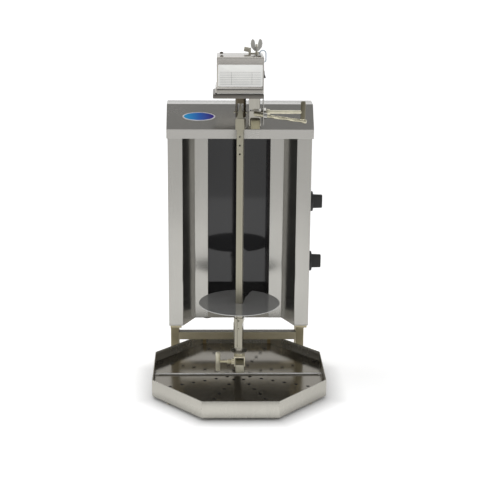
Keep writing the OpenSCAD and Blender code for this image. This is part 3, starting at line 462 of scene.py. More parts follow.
# two points (y, z) of the hood's slanted front, which the badge lies on
fascia = {"low": (-9.7, 633.3), "high": (37.0, 684.7)}
slope = math.atan2(fascia["high"][1] - fascia["low"][1], fascia["high"][0] - fascia["low"][0])
badgeLow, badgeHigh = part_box("hood_badge")
badgeCentre = (badgeLow + badgeHigh) / 2
spitCentre = Vector((-0.001, -0.0725, 0))

# the record's finishes. Steel: colour, roughness, grain, streaks, spread of roughness, bump, metal.
# Cast metal: colour, roughness, metal. Plastic: colour, roughness, grit, variation.
finishes = {
    "tray_steel": brushedSteel("satinTraySteel", (0.44, 0.426, 0.384), 0.27, alongZ, 0.02, 0.01, 0.008),
    "cover_steel": brushedSteel("brightCoverSteel", (0.22, 0.203, 0.17), 0.16, alongX, 0.03, 0.03, 0.04, 0.9),
    "frame_steel": brushedSteel("frameTubeSteel", (0.47, 0.415, 0.275), 0.42, alongX, 0.03, 0.03, 0.03, 0.65),
    "pad_rubber": mouldedPlastic("padRubber", (0.03, 0.03, 0.03), 0.75, 900),
    "arm_steel": brushedSteel("armSteel", (0.34, 0.315, 0.235), 0.3, alongY, metal=0.85),
    "cabinet_steel": brushedSteel("cabinetSteel", (0.37, 0.362, 0.338), 0.2, alongZ, 0.02, 0.02, 0.03, 0.92),
    "inner_steel": brushedSteel("innerSteel", (0.16, 0.155, 0.14), 0.4, alongX),
    "heater_glass": darkGlass("heaterGlass"),
    "fibre_board": mouldedPlastic("fibreBoard", (0.72, 0.69, 0.62), 0.9, 500),
    "element_alloy": castMetal("elementAlloy", (0.2, 0.16, 0.14), 0.6),
    "black_plastic": mouldedPlastic("blackPlastic", (0.008, 0.0078, 0.0075), 0.52),
    "block_plastic": mouldedPlastic("blockPlastic", (0.78, 0.77, 0.72), 0.45),
    "lead_sleeve": mouldedPlastic("leadSleeve", (0.5, 0.6, 0.7), 0.5),
    "badge_enamel": badgeEnamel("badgeEnamel", badgeCentre, slope),
    "plate_white": mouldedPlastic("ratingPlateWhite", (0.86, 0.86, 0.83), 0.38, 600, 0.03),
    "gasket_rubber": mouldedPlastic("gasketRubber", (0.72, 0.71, 0.68), 0.6),
    "motor_paint": castMetal("motorPaint", (0.12, 0.125, 0.13), 0.5),
    "screw_steel": castMetal("screwSteel", (0.1, 0.085, 0.065), 0.42),
    "stud_brass": castMetal("studBrass", (0.45, 0.39, 0.28), 0.36, 0.7),
    "handle_steel": castMetal("handleSteel", (0.86, 0.79, 0.56), 0.34, 0.3),
    "spit_steel": brushedSteel("spitSteel", (0.33, 0.312, 0.245), 0.34, alongZ, metal=0.8),
    "plate_polish": turnedSteel("polishedPlate", (0.49, 0.49, 0.48), 0.12, spitCentre, 0.6),
}

# finishes of single pieces, where the photograph shows another tone than the record's finish gives
own = {
    "hoodSteel": brushedSteel("hoodSteel", (0.43, 0.42, 0.395), 0.24, alongX, 0.015, 0.015, 0.015, 0.95),
    "sillSteel": brushedSteel("sillSteel", (0.25, 0.24, 0.21), 0.3, alongX),
    "headSheet": brushedSteel("headSheet", (0.46, 0.44, 0.405), 0.2, alongX, 0.015, 0.015, 0.015),
    # painted light: a lighter copy of the head's steel, for the head's front faces
    "headFront": brushedSteel("headFront", (0.74, 0.71, 0.66), 0.2, alongX, 0.015, 0.015, 0.015),
    # painted shade: a darker copy of the head's steel, for the front of the head's skirt
    "headSkirt": brushedSteel("headSkirt", (0.37, 0.355, 0.325), 0.2, alongX, 0.015, 0.015, 0.015),
    # the carriage plate's dark steel, also used as painted shade on the back of the head
    "carriageSheet": brushedSteel("carriageSheet", (0.15, 0.14, 0.125), 0.34, alongX, 0.03, 0.03, 0.05),
    "neckSteel": brushedSteel("neckSteel", (0.4, 0.385, 0.34), 0.12, alongZ, 0.05, 0.03, 0.05),
    "oliveCap": castMetal("oliveCap", (0.29, 0.265, 0.175), 0.42, 0.6),
    "paleCap": castMetal("paleCap", (0.5, 0.475, 0.37), 0.42, 0.5),
    "socketSteel": castMetal("socketSteel", (0.1, 0.083, 0.056), 0.25, 0.9),
    "tabSteel": brushedSteel("tabSteel", (0.42, 0.34, 0.19), 0.4, alongZ, metal=0.5),
    # painted highlight: a near-white, non-metal finish for the bright line along the seam
    "seamSteel": castMetal("seamSteel", (1.0, 0.98, 0.93), 0.5, 0.0),
    "paleHandle": castMetal("paleHandle", (0.74, 0.7, 0.55), 0.34, 0.4),
    "pinSteel": castMetal("pinSteel", (0.52, 0.49, 0.37), 0.22, 0.85),
    "oliveBar": castMetal("oliveBar", (0.16, 0.145, 0.1), 0.4, 0.7),
    "sleeveSteel": brushedSteel("sleeveSteel", (0.27, 0.256, 0.21), 0.2, alongZ, 0.05, 0.03, 0.05),
    "dishSteel": castMetal("dishSteel", (0.34, 0.32, 0.27), 0.28, 0.8),
    "sliderSteel": castMetal("sliderSteel", (0.95, 0.88, 0.68), 0.36, 0.2),
    "wingSteel": castMetal("wingSteel", (0.4, 0.39, 0.365), 0.34, 0.7),
    "paleTab": castMetal("paleTab", (0.6, 0.57, 0.48), 0.36, 0.5),
    "crossSteel": brushedSteel("crossSteel", (0.72, 0.65, 0.47), 0.34, alongX, 0.03, 0.03, 0.02, 0.6),
    # painted shade: a near-black steel for the cabinet's bottom panel and the crossbar's top
    "underSteel": brushedSteel("underSteel", (0.07, 0.065, 0.05), 0.4, alongX),
    # painted shade, for the drain holes and the pan's floor below them
    "drainShade": castMetal("drainShade", (0.012, 0.011, 0.009), 0.6, 0.0),
    "printedGrey": mouldedPlastic("printedGrey", (0.1, 0.1, 0.1), 0.5),
}
for nodeName, node in nodes.items():
    node.data.materials.clear()
    node.data.materials.append(finishes[slotOf[nodeName]])
print("finishes:", len(finishes) + len(own))

# edge: length of the left and right sides. side: length of the front and rear ones.
tray = {"width": 414, "depth": 442, "edge": 177, "side": 184, "low": 6.2, "high": 48.2, "sheet": 1.2,
        "corner": 3.0, "leastCorner": 0.8, "hem": 7.0, "darkTo": 12}


def traySlant():
    # a slanted side of the octagon: its outward direction, and how far it lies from the middle
    halfWidth, halfDepth = tray["width"] / 2, tray["depth"] / 2
    across, along = halfDepth - tray["side"] / 2, halfWidth - tray["edge"] / 2
    length = math.hypot(across, along)
    reach = (across * halfWidth + along * tray["side"] / 2) / length
    return across / length, along / length, reach


def trayOutline(inset):
    outX, outY, reach = traySlant()
    w, d = tray["width"] / 2 - inset, tray["depth"] / 2 - inset
    cornerY, cornerX = (reach - inset - outX * w) / outY, (reach - inset - outY * d) / outX
    points = [(w, -cornerY), (w, cornerY), (cornerX, d), (-cornerX, d),
              (-w, cornerY), (-w, -cornerY), (-cornerX, -d), (cornerX, -d)]
    return rounded(points, max(tray["leastCorner"], tray["corner"] - inset), 3)


def makeTray():
    low, high, sheet = tray["low"], tray["high"], tray["sheet"]
    hem = high - tray["hem"]
    # (inset, height): up the outside, over the rolled rim, down the hem and the inside
    rings = [(2.5, low), (0.8, low + 0.3), (0.1, low + 1.6), (0, low + 3), (0, high - 1), (0.35, high - 0.25),
             (1, high), (1.65, high - 0.25), (2, high - 1), (2, hem), (1.25, hem - 0.3), (sheet, low + 3),
             (1.6, low + 1.6), (3, low + sheet)]
    work = bmesh.new()
    skin(work, [[Vector((p.x, p.y, z)) * mm for p in trayOutline(inset)] for inset, z in rings])
    pan = fit(newPiece("trayPan", work, 50), "tray_pan")
    bottom, top = (low + 0.8) * mm, tray["darkTo"] * mm
    # painted shade: the floor of the pan is painted dark, so that the drain holes above it look dark
    paintFaces(pan, own["drainShade"], lambda face: bottom < face.center.z < top and face.normal.z > 0.3)


tab = {"width": 9, "cornerFrom": 219, "near": 218.8, "far": 219.6, "belowRim": 2}


def makeCornerTabs():
    # folded tabs that close the two rear corners
    work = bmesh.new()
    tabX = max(p.x for p in trayOutline(tray["sheet"]) if p.y > tab["cornerFrom"])
    for side in (-1, 1):
        ends = sorted((side * (tabX - tab["width"]), side * tabX))
        block(work, (ends[0], tab["near"], tray["low"] + tray["sheet"]),
              (ends[1], tab["far"], tray["high"] - tab["belowRim"]))
    fit(roundEdges(newPiece("cornerTabs", work), 0.25, 2), "tray_pan", own["tabSteel"])


makeTray()
makeCornerTabs()
print("tray made")

# each cabinet front is folded from one sheet: column, slanted wing and band
front = {"half": 169, "face": 19, "column": 34, "inner": 106.5, "band": 78, "opening": 74.8,
         "low": 144, "high": 633, "sheet": 1.2, "bend": 2.2, "lip": 1.6, "proud": 0.5}


def makeFront(name, nodeName, side):
    path = [(front["half"], front["face"]), (front["half"] - front["column"], front["face"]),
            (front["inner"], front["band"]), (front["opening"], front["band"])]
    bent = rounded(path, front["bend"], 5, closed=False)
    outline = thickened(bent, -front["sheet"])
    folded = thickened([p - Vector((0, front["proud"])) for p in bent], -front["sheet"] - front["proud"])
    levels = [(folded, 0), (folded, front["lip"]), (outline, front["lip"] + front["proud"]),
              (outline, front["high"] - front["low"])]
    rings = []
    for shape, lift in levels:
        rings.append([Vector((side * p.x, p.y, front["low"] + lift)) * mm for p in shape])
    work = bmesh.new()
    skin(work, rings)
    fit(roundEdges(newPiece(name, work, 30), 0.35, 2, 60), nodeName)


makeFront("rightFront", "right_front", 1)
makeFront("leftFront", "left_front", -1)
print("cabinet fronts made")


def makeBadge():
    # (share of the oval, height): a raised rim round a slightly domed field
    place = Matrix.Translation(badgeCentre) @ Matrix.Rotation(slope, 4, "X")
    profile = [(1.0, -0.7), (1.0, 0.3), (0.985, 0.6), (0.96, 0.7), (0.935, 0.6), (0.92, 0.35), (0.9, 0.3),
               (0.6, 0.42), (0.3, 0.5), (0.05, 0.52)]
    rings = []
    for share, height in profile:
        inset = (1 - share) * badge["short"]
        a, b = badge["long"] - inset, badge["short"] - inset
        if share < badge["rim"][0]:
            a, b = badge["long"] * share, badge["short"] * share
        rings.append([place @ Vector((a * c * mm, b * s * mm, height * mm)) for c, s in roundTurn(96)])
    work = bmesh.new()
    skin(work, rings)
    fit(newPiece("ovalBadge", work, 60), "hood_badge")


makeBadge()
print("badge made")


def ringOf(box, inset, radius, z):
    plan = roundedBox(box["left"] + inset, box["front"] + inset, box["right"] - inset, box["back"] - inset,
                      radius)
    return [Vector((p.x, p.y, z)) * mm for p in plan]


def outerRing(box, inset, z):
    return ringOf(box, inset, max(box["leastCorner"], box["corner"] - inset), z)


def innerRing(box, inset, z):
    return ringOf(box, box["wall"] + inset, box["innerCorner"], z)


def roundOver(box, first):
    # (inset, height) of the rounded top edge, in five steps
    turns = [math.pi / 2 * k / 5 for k in range(first, 6)]
    return [(box["edge"] * (1 - math.cos(a)), box["high"] - box["edge"] * (1 - math.sin(a))) for a in turns]


# skirt: (height, share of the flare), where flare is how far it stands out to the left and the front
head = {"left": -55, "right": 49, "front": -110.5, "back": -28.5, "low": 733.5, "high": 812, "wall": 1.5,
        "corner": 4, "leastCorner": 0.6, "innerCorner": 2.5, "edge": 3.5, "flare": (3, 1.5),
        "skirt": ((0, 1), (4.5, 1), (9, 0.85), (11, 0.4), (13, 0)), "skirtFinish": 9.5,
        "switch": ((-78.5, 761), (-62.5, 783)), "switchDepth": 3}


def makeMotorCover():
    flareX, flareY = head["flare"]
    outer = []
    for lift, share in head["skirt"]:
        plan = roundedBox(head["left"] - share * flareX, head["front"] - share * flareY, head["right"],
                          head["back"], head["corner"])
        outer.append([Vector((p.x, p.y, head["low"] + lift)) * mm for p in plan])
    outer += [outerRing(head, inset, z) for inset, z in roundOver(head, 0)]
    inside = [(0, head["low"]), (0, head["high"] - head["edge"]), (2, head["high"] - head["wall"])]
    piece = openShell("motorCover", outer, [innerRing(head, inset, z) for inset, z in inside], 12)
    opening = bmesh.new()
    low, high = head["switch"]
    block(opening, (head["right"] - head["switchDepth"], *low), (head["right"] + 1, *high))
    cut(piece, opening, 19.5)
    fit(piece, "motor_cover", own["headSheet"])
    # painted light and shade: the front faces take a lighter copy of the head's steel, and the front of the
    # skirt, up to the height in the table, a darker copy
    shadedSkirtTop = (head["low"] + head["skirtFinish"]) * mm
    paintFaces(piece, own["headFront"], lambda face: face.normal.y < -0.9)
    paintFaces(piece, own["headSkirt"], lambda face: face.normal.y < -0.9 and face.center.z < shadedSkirtTop)
    # painted shade: the back is painted dark, so that the hood's slanted front does not mirror it as a bright
    # patch
    paintFaces(piece, own["carriageSheet"], lambda face: face.normal.y > 0.9)


flange = {"left": -63.5, "right": 49.5, "front": -114.5, "back": -26.5, "low": 721, "high": 731, "wall": 1.5,
          "deck": 2, "corner": 5, "leastCorner": 0.8, "innerCorner": 3.2, "edge": 3.2, "shaft": 14}


def makeCarriagePlate():
    low, high, edge = flange["low"], flange["high"], flange["edge"]
    outside = [(1.2, low), (0.4, low + 0.5), (0, low + 1.6), (0, high - edge)] + roundOver(flange, 1)
    inside = [(0.3, low), (0, low + 1), (0, high - edge), (1.6, high - flange["deck"])]
    piece = openShell("carriagePlate", [outerRing(flange, inset, z) for inset, z in outside],
                      [innerRing(flange, inset, z) for inset, z in inside], 40)
    opening = bmesh.new()
    bore = flange["shaft"] / 2
    lathe(opening, [(bore, low), (bore, high + 1)], Matrix.Translation(spitCentre))
    cut(piece, opening)
    # the plate is darker than the head: partly its own tone, partly painted shade that keeps its underside
    # from mirroring the bright floor
    fit(piece, "carriage_plate", own["carriageSheet"])


makeMotorCover()
makeCarriagePlate()
print("motor cover and carriage plate made")

# columns: where the upright rules stand, as shares of the width
label = {"corner": 2.5, "rows": 8, "pitch": 3.9, "margin": 4, "line": 0.35, "columns": (0.28, 0.78),
         "proud": 0.02, "depth": 0.1}


def makeRatingPlate():
    low, high = boxInMm("rating_plate")
    rings = []
    for inset, y in ((0, high.y), (0, low.y + 0.15), (0.25, low.y), (1.6, low.y), (1.9, low.y + 0.15)):
        plan = roundedBox(low.x + inset, low.z + inset, high.x - inset, high.z - inset,
                          label["corner"] - inset, 4)
        rings.append([Vector((p.x, y, p.y)) * mm for p in plan])
    work = bmesh.new()
    skin(work, rings)
    fit(newPiece("ratingPlate", work, 50), "rating_plate")
    # a blank form: plain rules, nothing written
    work = bmesh.new()
    left, right, line = low.x + label["margin"], high.x - label["margin"], label["line"]
    bottom, front = low.z + label["margin"], low.y - label["proud"]
    for k in range(label["rows"]):
        z = bottom + label["pitch"] * k
        block(work, (left, front, z), (right, front + label["depth"], z + line))
    top = bottom + label["pitch"] * (label["rows"] - 1)
    for share in label["columns"]:
        x = left + share * (right - left)
        block(work, (x, front, bottom), (x + line, front + label["depth"], top))
    fit(newPiece("plateRules", work), "rating_plate", own["printedGrey"])


# radii of head, shank and recess. inset: how far in from the box of all four a screw's middle is.
screws = {"head": 3.9, "shank": 2, "recess": 1.5, "inset": 4, "length": 8}


def makeScrews():
    low, high = boxInMm("cover_screws")
    top, r, recess = head["high"], screws["head"], screws["recess"]
    profile = [(screws["shank"], top - screws["length"]), (screws["shank"], top), (r, top), (r, top + 0.5),
               (r * 0.9, top + 1.4), (r * 0.65, top + 2.2), (recess + 0.15, top + 2.5), (recess, top + 2.3),
               (recess, top + 1)]
    work = bmesh.new()
    for x in (low.x + screws["inset"], high.x - screws["inset"]):
        for y in (low.y + screws["inset"], high.y - screws["inset"]):
            lathe(work, profile, Matrix.Translation((x * mm, y * mm, 0)), 30)
    fit(newPiece("coverScrews", work, 50), "cover_screws")


makeRatingPlate()
makeScrews()
print("rating plate and cover screws made")

# shaft: its radius. grip: x where the collar begins. sense: which way the handle points along x.
handles = {
    "upperHandle": {"node": "upper_t_handle", "shaft": 4, "grip": 57.2, "sense": 1,
                    "shaftFinish": own["paleHandle"], "barFinish": own["oliveBar"]},
    "lowerHandle": {"node": "lower_t_handle", "shaft": 3, "grip": -21, "sense": -1,
                    "shaftFinish": None, "barFinish": own["paleHandle"]},
}
tBar = {"radius": 5.5, "half": 25, "end": 3.5, "collar": 8, "collarProud": 2.3}


def makeHandle(name, handle):
    low, high = boxInMm(handle["node"])
    y, z = (low.y + high.y) / 2, (low.z + high.z) / 2
    tip, far = (low.x, high.x) if handle["sense"] > 0 else (high.x, low.x)
    barX = far - handle["sense"] * tBar["radius"]
    shaft, collar, depth = handle["shaft"], handle["shaft"] + tBar["collarProud"], tBar["collar"]
    start, length = abs(tip - handle["grip"]), abs(barX - handle["grip"])
    profile = [(shaft - 0.6, -start), (shaft, -start + 0.8), (shaft, 0), (collar - 0.6, 0), (collar, 0.6),
               (collar, depth - 0.8), (collar - 0.8, depth), (shaft, depth), (shaft, length * 0.5),
               (shaft, length)]
    work = bmesh.new()
    lathe(work, profile, aimed((handle["grip"], y, z), (handle["sense"], 0, 0)), 32)
    fit(newPiece(name + "Shaft", work, 50), handle["node"], handle["shaftFinish"])
    # the bar stands upright, with rounded ends
    r, end = tBar["radius"], tBar["end"]
    turns = [math.radians(a) for a in range(0, 91, 15)]
    upper = [(r * math.cos(a) * 0.995 + 0.03, tBar["half"] - end + end * math.sin(a)) for a in turns]
    lower = [(radius, -height) for radius, height in upper[::-1]]
    work = bmesh.new()
    lathe(work, lower + upper, Matrix.Translation((barX * mm, y * mm, z * mm)), 32)
    fit(newPiece(name + "Bar", work, 50), handle["node"], handle["barFinish"])


for name, handle in handles.items():
    makeHandle(name, handle)

# three twisted flutes between plain stretches; tip: (distance from the end, radius) of its round knob
pin = {"origin": (48, -99, 681.5), "tilt": 8, "radius": 3.75, "tail": 20, "end": 99, "fluteFrom": 12,
       "fluteTo": 90, "fluteDepth": 0.6, "flutes": 3, "lead": 34, "around": 36, "steps": 60,
       "tip": ((9.5, 3.75), (9, 4.3), (7.6, 4.85), (5.6, 5), (3, 4.6), (1.2, 3.4), (0.2, 1.6), (0, 0.3))}


def makeLockingPin():
    tilt = math.radians(pin["tilt"])
    place = aimed(pin["origin"], (math.cos(tilt), 0, -math.sin(tilt)))
    radius, around = pin["radius"], pin["around"]
    rows = [(-pin["tail"], [radius * 0.8] * around), (-pin["tail"] + 0.8, [radius] * around),
            (pin["fluteFrom"], [radius] * around)]
    for step in range(1, pin["steps"]):
        share = step / pin["steps"]
        at = pin["fluteFrom"] + share * (pin["fluteTo"] - pin["fluteFrom"])
        depth = pin["fluteDepth"] * min(1, 12 * share, 12 * (1 - share))
        twist = 2 * math.pi * at / pin["lead"]
        waves = [math.cos(pin["flutes"] * 2 * math.pi * k / around + twist) for k in range(around)]
        rows.append((at, [radius - depth * (0.5 - 0.5 * wave) for wave in waves]))
    rows.append((pin["fluteTo"], [radius] * around))
    for back, wide in pin["tip"]:
        rows.append((pin["end"] - back, [wide] * around))
    rings = []
    for at, radii in rows:
        spots = zip(radii, roundTurn(around))
        rings.append([place @ Vector((r * c * mm, r * s * mm, at * mm)) for r, (c, s) in spots])
    work = bmesh.new()
    skin(work, rings)
    fit(newPiece("lockingPin", work, 60), "locking_pin", own["pinSteel"])


makeLockingPin()
print("handles and locking pin made")

# base: x of the skirt's back. foot and face: (share of the full grip, height), the foot's height from
# the skirt's face, and the face's back from the knob's end.
knob = {"base": 169.5, "skirt": 25, "skirtDepth": 8, "gripHalf": 16.5, "gripWidth": 6, "spindle": 3,
        "foot": ((1.06, -0.8), (1.02, 1), (1, 3)), "face": ((0.965, 2), (0.95, 0.9), (0.9, 0.2), (0.84, 0))}


def makeKnob(name, nodeName):
    low, high = boxInMm(nodeName)
    y, z = (low.y + high.y) / 2, (low.z + high.z) / 2
    base, r, d = knob["base"], knob["skirt"], knob["skirtDepth"]
    work = bmesh.new()
    profile = [(knob["spindle"], low.x - base), (knob["spindle"], 0.4), (r - 0.6, 0), (r, 0.6), (r - 0.5, 2),
               (r - 0.9, d - 1.2), (r - 1.3, d - 0.4), (r - 2.2, d), (r - 4, d - 0.2), (4, d - 0.4)]
    lathe(work, profile, aimed((base, y, z), (1, 0, 0)), 64)
    height = high.x - base
    levels = [(share, d + lift) for share, lift in knob["foot"]]
    levels += [(share, height - back) for share, back in knob["face"]]
    rings = []
    for share, at in levels:
        half, wide = knob["gripHalf"] * share, knob["gripWidth"] * (share - 0.1 * (share < 0.95))
        ring = []
        for c, s in roundTurn(48):
            across = math.copysign(abs(c) ** 0.35, c) * wide
            up = math.copysign(abs(s) ** 0.3, s) * half
            ring.append(Vector((base + at, y + across, z + up)) * mm)
        rings.append(ring)
    skin(work, rings)
    fit(newPiece(name, work, 45), nodeName)


makeKnob("upperKnob", "upper_knob")
makeKnob("lowerKnob", "lower_knob")
print("knobs made")

# rings: (inset, depth) of the cushioned face, from its middle back to the tube
cap = {"half": 10, "corner": 4, "rings": ((2.2, 0), (1.0, 0.25), (0.3, 0.8), (0, 1.5), (0, 2)),
       "plug": 8.3, "plugFrom": 1.9, "plugTo": 8, "lower": (0, -121, 86.5), "upper": (31, -108, 662)}


def makeCap(name, place, finish):
    x, y, z = place
    rings = []
    for inset, at in cap["rings"]:
        half = cap["half"] - inset
        plan = roundedBox(-half, -half, half, half, cap["corner"] - inset * 0.7)
        rings.append([Vector((x + p.x, y + at, z + p.y)) * mm for p in plan])
    work = bmesh.new()
    skin(work, rings)
    plug = cap["plug"]
    block(work, (x - plug, y + cap["plugFrom"], z - plug), (x + plug, y + cap["plugTo"], z + plug))
    fit(newPiece(name, work, 40), "arm_caps", finish)


makeCap("lowerCap", cap["lower"], own["paleCap"])
makeCap("upperCap", cap["upper"], own["oliveCap"])
print("arm caps made")

# apart: wall faces closer than this belong to one hole. fewest: with fewer faces it counts as no hole.
drain = {"apart": 7, "fewest": 6, "around": 24, "holeFace": 4, "upright": 0.3,
         "profile": ((3.0, 0.02), (3.1, 0.08), (4.2, 0.08), (4.2, 0.02))}


def makeDrainShadeRings(nodeName, walls):
    # a ring of painted shade round every hole; each hole is found by its own wall faces
    holes = []
    for spot in walls:
        near = [hole for hole in holes if (hole[0] - spot).length < drain["apart"] * mm]
        if near:
            near[0].append(spot)
        else:
            holes.append([spot])
    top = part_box(nodeName)[1].z
    work = bmesh.new()
    for hole in holes:
        if len(hole) < drain["fewest"]:
            continue
        middle = sum(hole, Vector()) / len(hole)
        rings = []
        for radius, lift in drain["profile"]:
            reach, z = radius * mm, top + lift * mm
            turn = roundTurn(drain["around"])
            rings.append([Vector((middle.x + reach * c, middle.y + reach * s, z)) for c, s in turn])
        skin(work, rings + rings[:1], False, False)
    bmesh.ops.remove_doubles(work, verts=work.verts, dist=0.0000001)
    fit(newPiece(nodeName.split("_")[0] + "DrainEdges", work), nodeName, own["drainShade"])


def holeWall(face):
    # a small upright face of a cover belongs to a drain hole
    return abs(face.normal.z) < drain["upright"] and face.area < drain["holeFace"] * mm * mm


def makeCover(nodeName):
    sheet = newPiece(nodeName.split("_")[0] + "Cover", weldedMesh(nodeName))
    sheet.data.shade_flat()
    fit(sheet, nodeName)
    # painted shade: the walls of the drain holes are painted dark, and rings of it go round them
    makeDrainShadeRings(nodeName, paintFaces(sheet, own["drainShade"], holeWall))


# the bead along the seam of the covers, near-white as a painted highlight; slant leans its front face back
seam = {"half": 203, "width": 2.6, "proud": 1.6, "slant": 1.7, "depth": 3, "overFront": 0.15, "overRear": 1.0,
        "edge": 0.25}


def makeSeamBead():
    low, high = boxInMm("rear_cover")
    top = high.z + seam["proud"]
    near = boxInMm("front_cover")[1].y + seam["overFront"]
    far = low.y + seam["width"] - seam["overRear"]
    section = rounded([(near, top - seam["depth"]), (far, top - seam["depth"]), (far, top),
                       (near + seam["slant"], top), (near, top - seam["proud"])], seam["edge"], 4)
    work = bmesh.new()
    skin(work, [[Vector((x, p.x, p.y)) * mm for p in section] for x in (-seam["half"], seam["half"])])
    fit(newPiece("seamBead", work, 50), "rear_cover", own["seamSteel"])


makeCover("front_cover")
makeCover("rear_cover")
makeSeamBead()
print("perforated covers made")

# the plate's slot opens out to a flared mouth: half widths at its start and at the rim
mouth = {"turn": 11, "start": 52, "rim": 104, "narrow": 9.5, "wide": 19, "steps": 8, "bend": 2.2}
plateTurn = Matrix.Translation(spitCentre) @ Matrix.Rotation(math.radians(-mouth["turn"]), 4, "Z")


def makeMeatPlate():
    piece = copyOf("meat_plate", "meatPlate")
    low, high = boxInMm("meat_plate")
    side = []
    for k in range(mouth["steps"] + 1):
        share = k / mouth["steps"]
        half = mouth["narrow"] + (mouth["wide"] - mouth["narrow"]) * share ** mouth["bend"]
        side.append((half, mouth["start"] + (mouth["rim"] - mouth["start"]) * share))
    plan = [(-x, y) for x, y in side] + side[::-1]
    rings = [[plateTurn @ (Vector((x, y, z)) * mm) for x, y in plan] for z in (low.z - 1, high.z + 1)]
    work = bmesh.new()
    skin(work, rings)
    cut(piece, work)
    fit(roundEdges(piece, 0.9, 3), "meat_plate")


makeMeatPlate()
print("meat plate made")

# the sleeve round the skewer is split down its front; half and wall are its outside and its sheet
sleeve = {"half": 9, "wall": 1.7, "seam": (-3.4, -1.9), "margin": 3}


def openSleeve(piece):
    low, high = boxInMm("plate_sleeve")
    left, right = sleeve["seam"]
    work = bmesh.new()
    block(work, (left, -sleeve["half"] - 3, low.z + sleeve["margin"]),
          (right, -sleeve["half"] + sleeve["wall"], high.z - sleeve["margin"]))
    work.transform(plateTurn)
    cut(piece, work)


# pieces that keep the CAD shape, with worked edges (width in mm, segments)
workedEdges = {
    "front_legs": (1.3, 3), "rear_posts": (0.8, 2), "crossbar": (1.3, 3), "rear_tie": (1.3, 3),
    "side_rails": (0.9, 2), "floor_runners": (0.8, 2), "rubber_pads": (0.5, 2),
    "lower_arm": (1.3, 3), "upper_arm": (1.3, 3), "upper_arm_bracket": (0.8, 2),
    "left_side_panel": (0.4, 2), "right_side_panel": (0.4, 2), "sill_band": (0.4, 2),
    "bottom_panel": (0.3, 2), "back_panel": (0.35, 2), "roof_deck": (0.3, 2), "recess_liner": (0.3, 2),
    "heater_glass": (0.8, 2), "hood": (0.5, 3), "cable_gland": (0.5, 2),
    "carriage_neck": (1.2, 3), "side_plate": (0.5, 2), "cover_gasket": (0.8, 3),
    "motor_switch": (0.5, 2), "motor_rocker": (0.6, 3), "earth_stud": (0.4, 2), "wing_nut": (0.9, 3),
    "drive_socket": (0.8, 3), "cross_pin": (0.5, 2), "skewer": (0.6, 2), "plate_sleeve": (0.7, 2),
    "drip_dish": (0.4, 2), "lower_slider": (0.9, 3),
}
# the bottom panel is painted dark all over, as painted shade under the cabinet
ownFinish = {"carriage_neck": "neckSteel", "drive_socket": "socketSteel", "drip_dish": "dishSteel",
             "plate_sleeve": "sleeveSteel", "lower_slider": "sliderSteel", "hood": "hoodSteel",
             "sill_band": "sillSteel", "wing_nut": "wingSteel", "earth_stud": "paleTab",
             "crossbar": "crossSteel", "bottom_panel": "underSteel"}


def pieceName(nodeName):
    first, *rest = nodeName.split("_")
    return first + "".join(word.capitalize() for word in rest)


for nodeName, (width, segments) in workedEdges.items():
    finish = own[ownFinish[nodeName]] if nodeName in ownFinish else None
    piece = copyOf(nodeName, pieceName(nodeName))
    if nodeName == "plate_sleeve":
        openSleeve(piece)
    fit(roundEdges(piece, width, segments), nodeName, finish)
    if nodeName == "crossbar":
        # painted shade: the tube's top is painted darker than its front
        paintFaces(piece, own["underSteel"], lambda face: face.normal.z > 0.5)
print("pieces with worked edges:", len(workedEdges))

# In metres. The paper glows, which is painted light; its glow is full from glowTo away from the tray and
# fades out towards the tray as a painted contact shadow.
# The shares dim it behind the grill and at its sides, over depthSpan and sideSpan, as painted shade.
studio = {"floorFront": -1.55, "floorBack": 24.0, "floorHalf": 14.0, "cells": 20, "paper": 0.86, "mottle": 3,
          "rough": 0.9, "glow": 0.76, "glowFrom": -0.01, "glowTo": 0.055, "frontShare": 1.0, "backShare": 0.6,
          "depthSpan": (-0.35, 0.05), "sideShare": 0.78, "sideSpan": (0.16, 0.34)}


def footDistance(tree, x, y):
    # how far a point of the floor lies outside the tray's eight sides
    outX, outY, reach = traySlant()
    slant = maths(tree, "ADD", maths(tree, "MULTIPLY", x, outX), maths(tree, "MULTIPLY", y, outY))
    slant = maths(tree, "SUBTRACT", slant, reach * mm)
    overX = maths(tree, "SUBTRACT", x, tray["width"] / 2 * mm)
    overY = maths(tree, "SUBTRACT", y, tray["depth"] / 2 * mm)
    return maths(tree, "MAXIMUM", slant, maths(tree, "MAXIMUM", overX, overY))


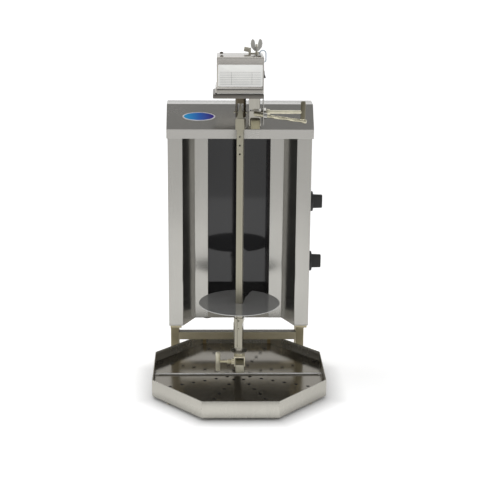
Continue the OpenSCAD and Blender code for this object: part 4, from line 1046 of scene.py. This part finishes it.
def makeFloor():
    cells, half = studio["cells"], studio["floorHalf"]
    deep = studio["floorBack"] - studio["floorFront"]
    xs = [-half + 2 * half * k / cells for k in range(cells + 1)]
    ys = [studio["floorFront"] + deep * k / cells for k in range(cells + 1)]
    work = bmesh.new()
    grid = [[work.verts.new((x, y, 0)) for x in xs] for y in ys]
    for a, b in zip(grid, grid[1:]):
        for i in range(cells):
            work.faces.new((a[i], a[i + 1], b[i + 1], b[i]))
    floor = newPiece("studioFloor", work)
    finish, tree, shader, place = newFinish("whitePaper", Roughness=studio["rough"])
    axes = axesOf(tree, place)
    x, y = maths(tree, "ABSOLUTE", axes["X"]), maths(tree, "ABSOLUTE", axes["Y"])
    # painted shadow round the tray, and painted shade behind and beside the grill, all in the paper's glow
    near = spanOf(tree, footDistance(tree, x, y), 0, 1, studio["glowFrom"], studio["glowTo"])
    ahead = spanOf(tree, axes["Y"], studio["frontShare"], studio["backShare"], *studio["depthSpan"])
    aside = spanOf(tree, x, 1.0, studio["sideShare"], *studio["sideSpan"])
    glow = mixOf(tree, near, (0, 0, 0, 1), maths(tree, "MULTIPLY", ahead, aside))
    tree.links.new(glow, shader.inputs["Emission Color"])
    shader.inputs["Emission Strength"].default_value = studio["glow"]
    paper = studio["paper"]
    mottle = grainNoise(tree, place, even, studio["mottle"], 3)
    tintBy(tree, shader, mottle, [(0.3, (paper,) * 3), (0.7, (paper + 0.02,) * 3)])
    floor.data.materials.append(finish)


# (height, brightness), from straight down at 0 to straight up at 1, towards the camera and away from it
sky = {"front": [(0.0, 1.0), (0.49, 1.0), (0.52, 0.25), (0.67, 0.25), (0.73, 1.0), (0.83, 1.0), (0.9, 0.32),
                 (1.0, 0.35)],
       "back": [(0.0, 1.0), (0.49, 1.0), (0.62, 1.0), (0.72, 0.9), (0.85, 0.4), (1.0, 0.35)],
       "backSpan": (-0.2, 0.3), "power": 1.5}


def makeWorld():
    world = bpy.data.worlds.new("studioWorld")
    bpy.context.scene.world = world
    world.use_nodes = True
    tree = world.node_tree
    axes = axesOf(tree, tree.nodes.new("ShaderNodeTexCoord").outputs["Generated"])
    height = spanOf(tree, axes["Z"], 0, 1, -1, 1)
    behind = spanOf(tree, axes["Y"], 0, 1, *sky["backSpan"])
    sides = []
    for side in ("front", "back"):
        stops = [(at, (level / sky["power"],) * 3) for at, level in sky[side]]
        sides.append(rampOf(tree, height, stops))
    tree.links.new(mixOf(tree, behind, *sides), tree.nodes["Background"].inputs["Color"])
    tree.nodes["Background"].inputs["Strength"].default_value = sky["power"]


sun = {"from": (-0.2, 0.5, 1.0), "power": 0.9, "softness": 50}


def makeSun():
    data = bpy.data.lights.new("sunLamp", "SUN")
    data.energy = sun["power"]
    data.angle = math.radians(sun["softness"])
    lamp = bpy.data.objects.new("sunLamp", data)
    lamp.rotation_euler = Vector(sun["from"]).to_track_quat("Z", "Y").to_euler()
    bpy.context.scene.collection.objects.link(lamp)


makeFloor()
makeWorld()
makeSun()
print("studio ready")
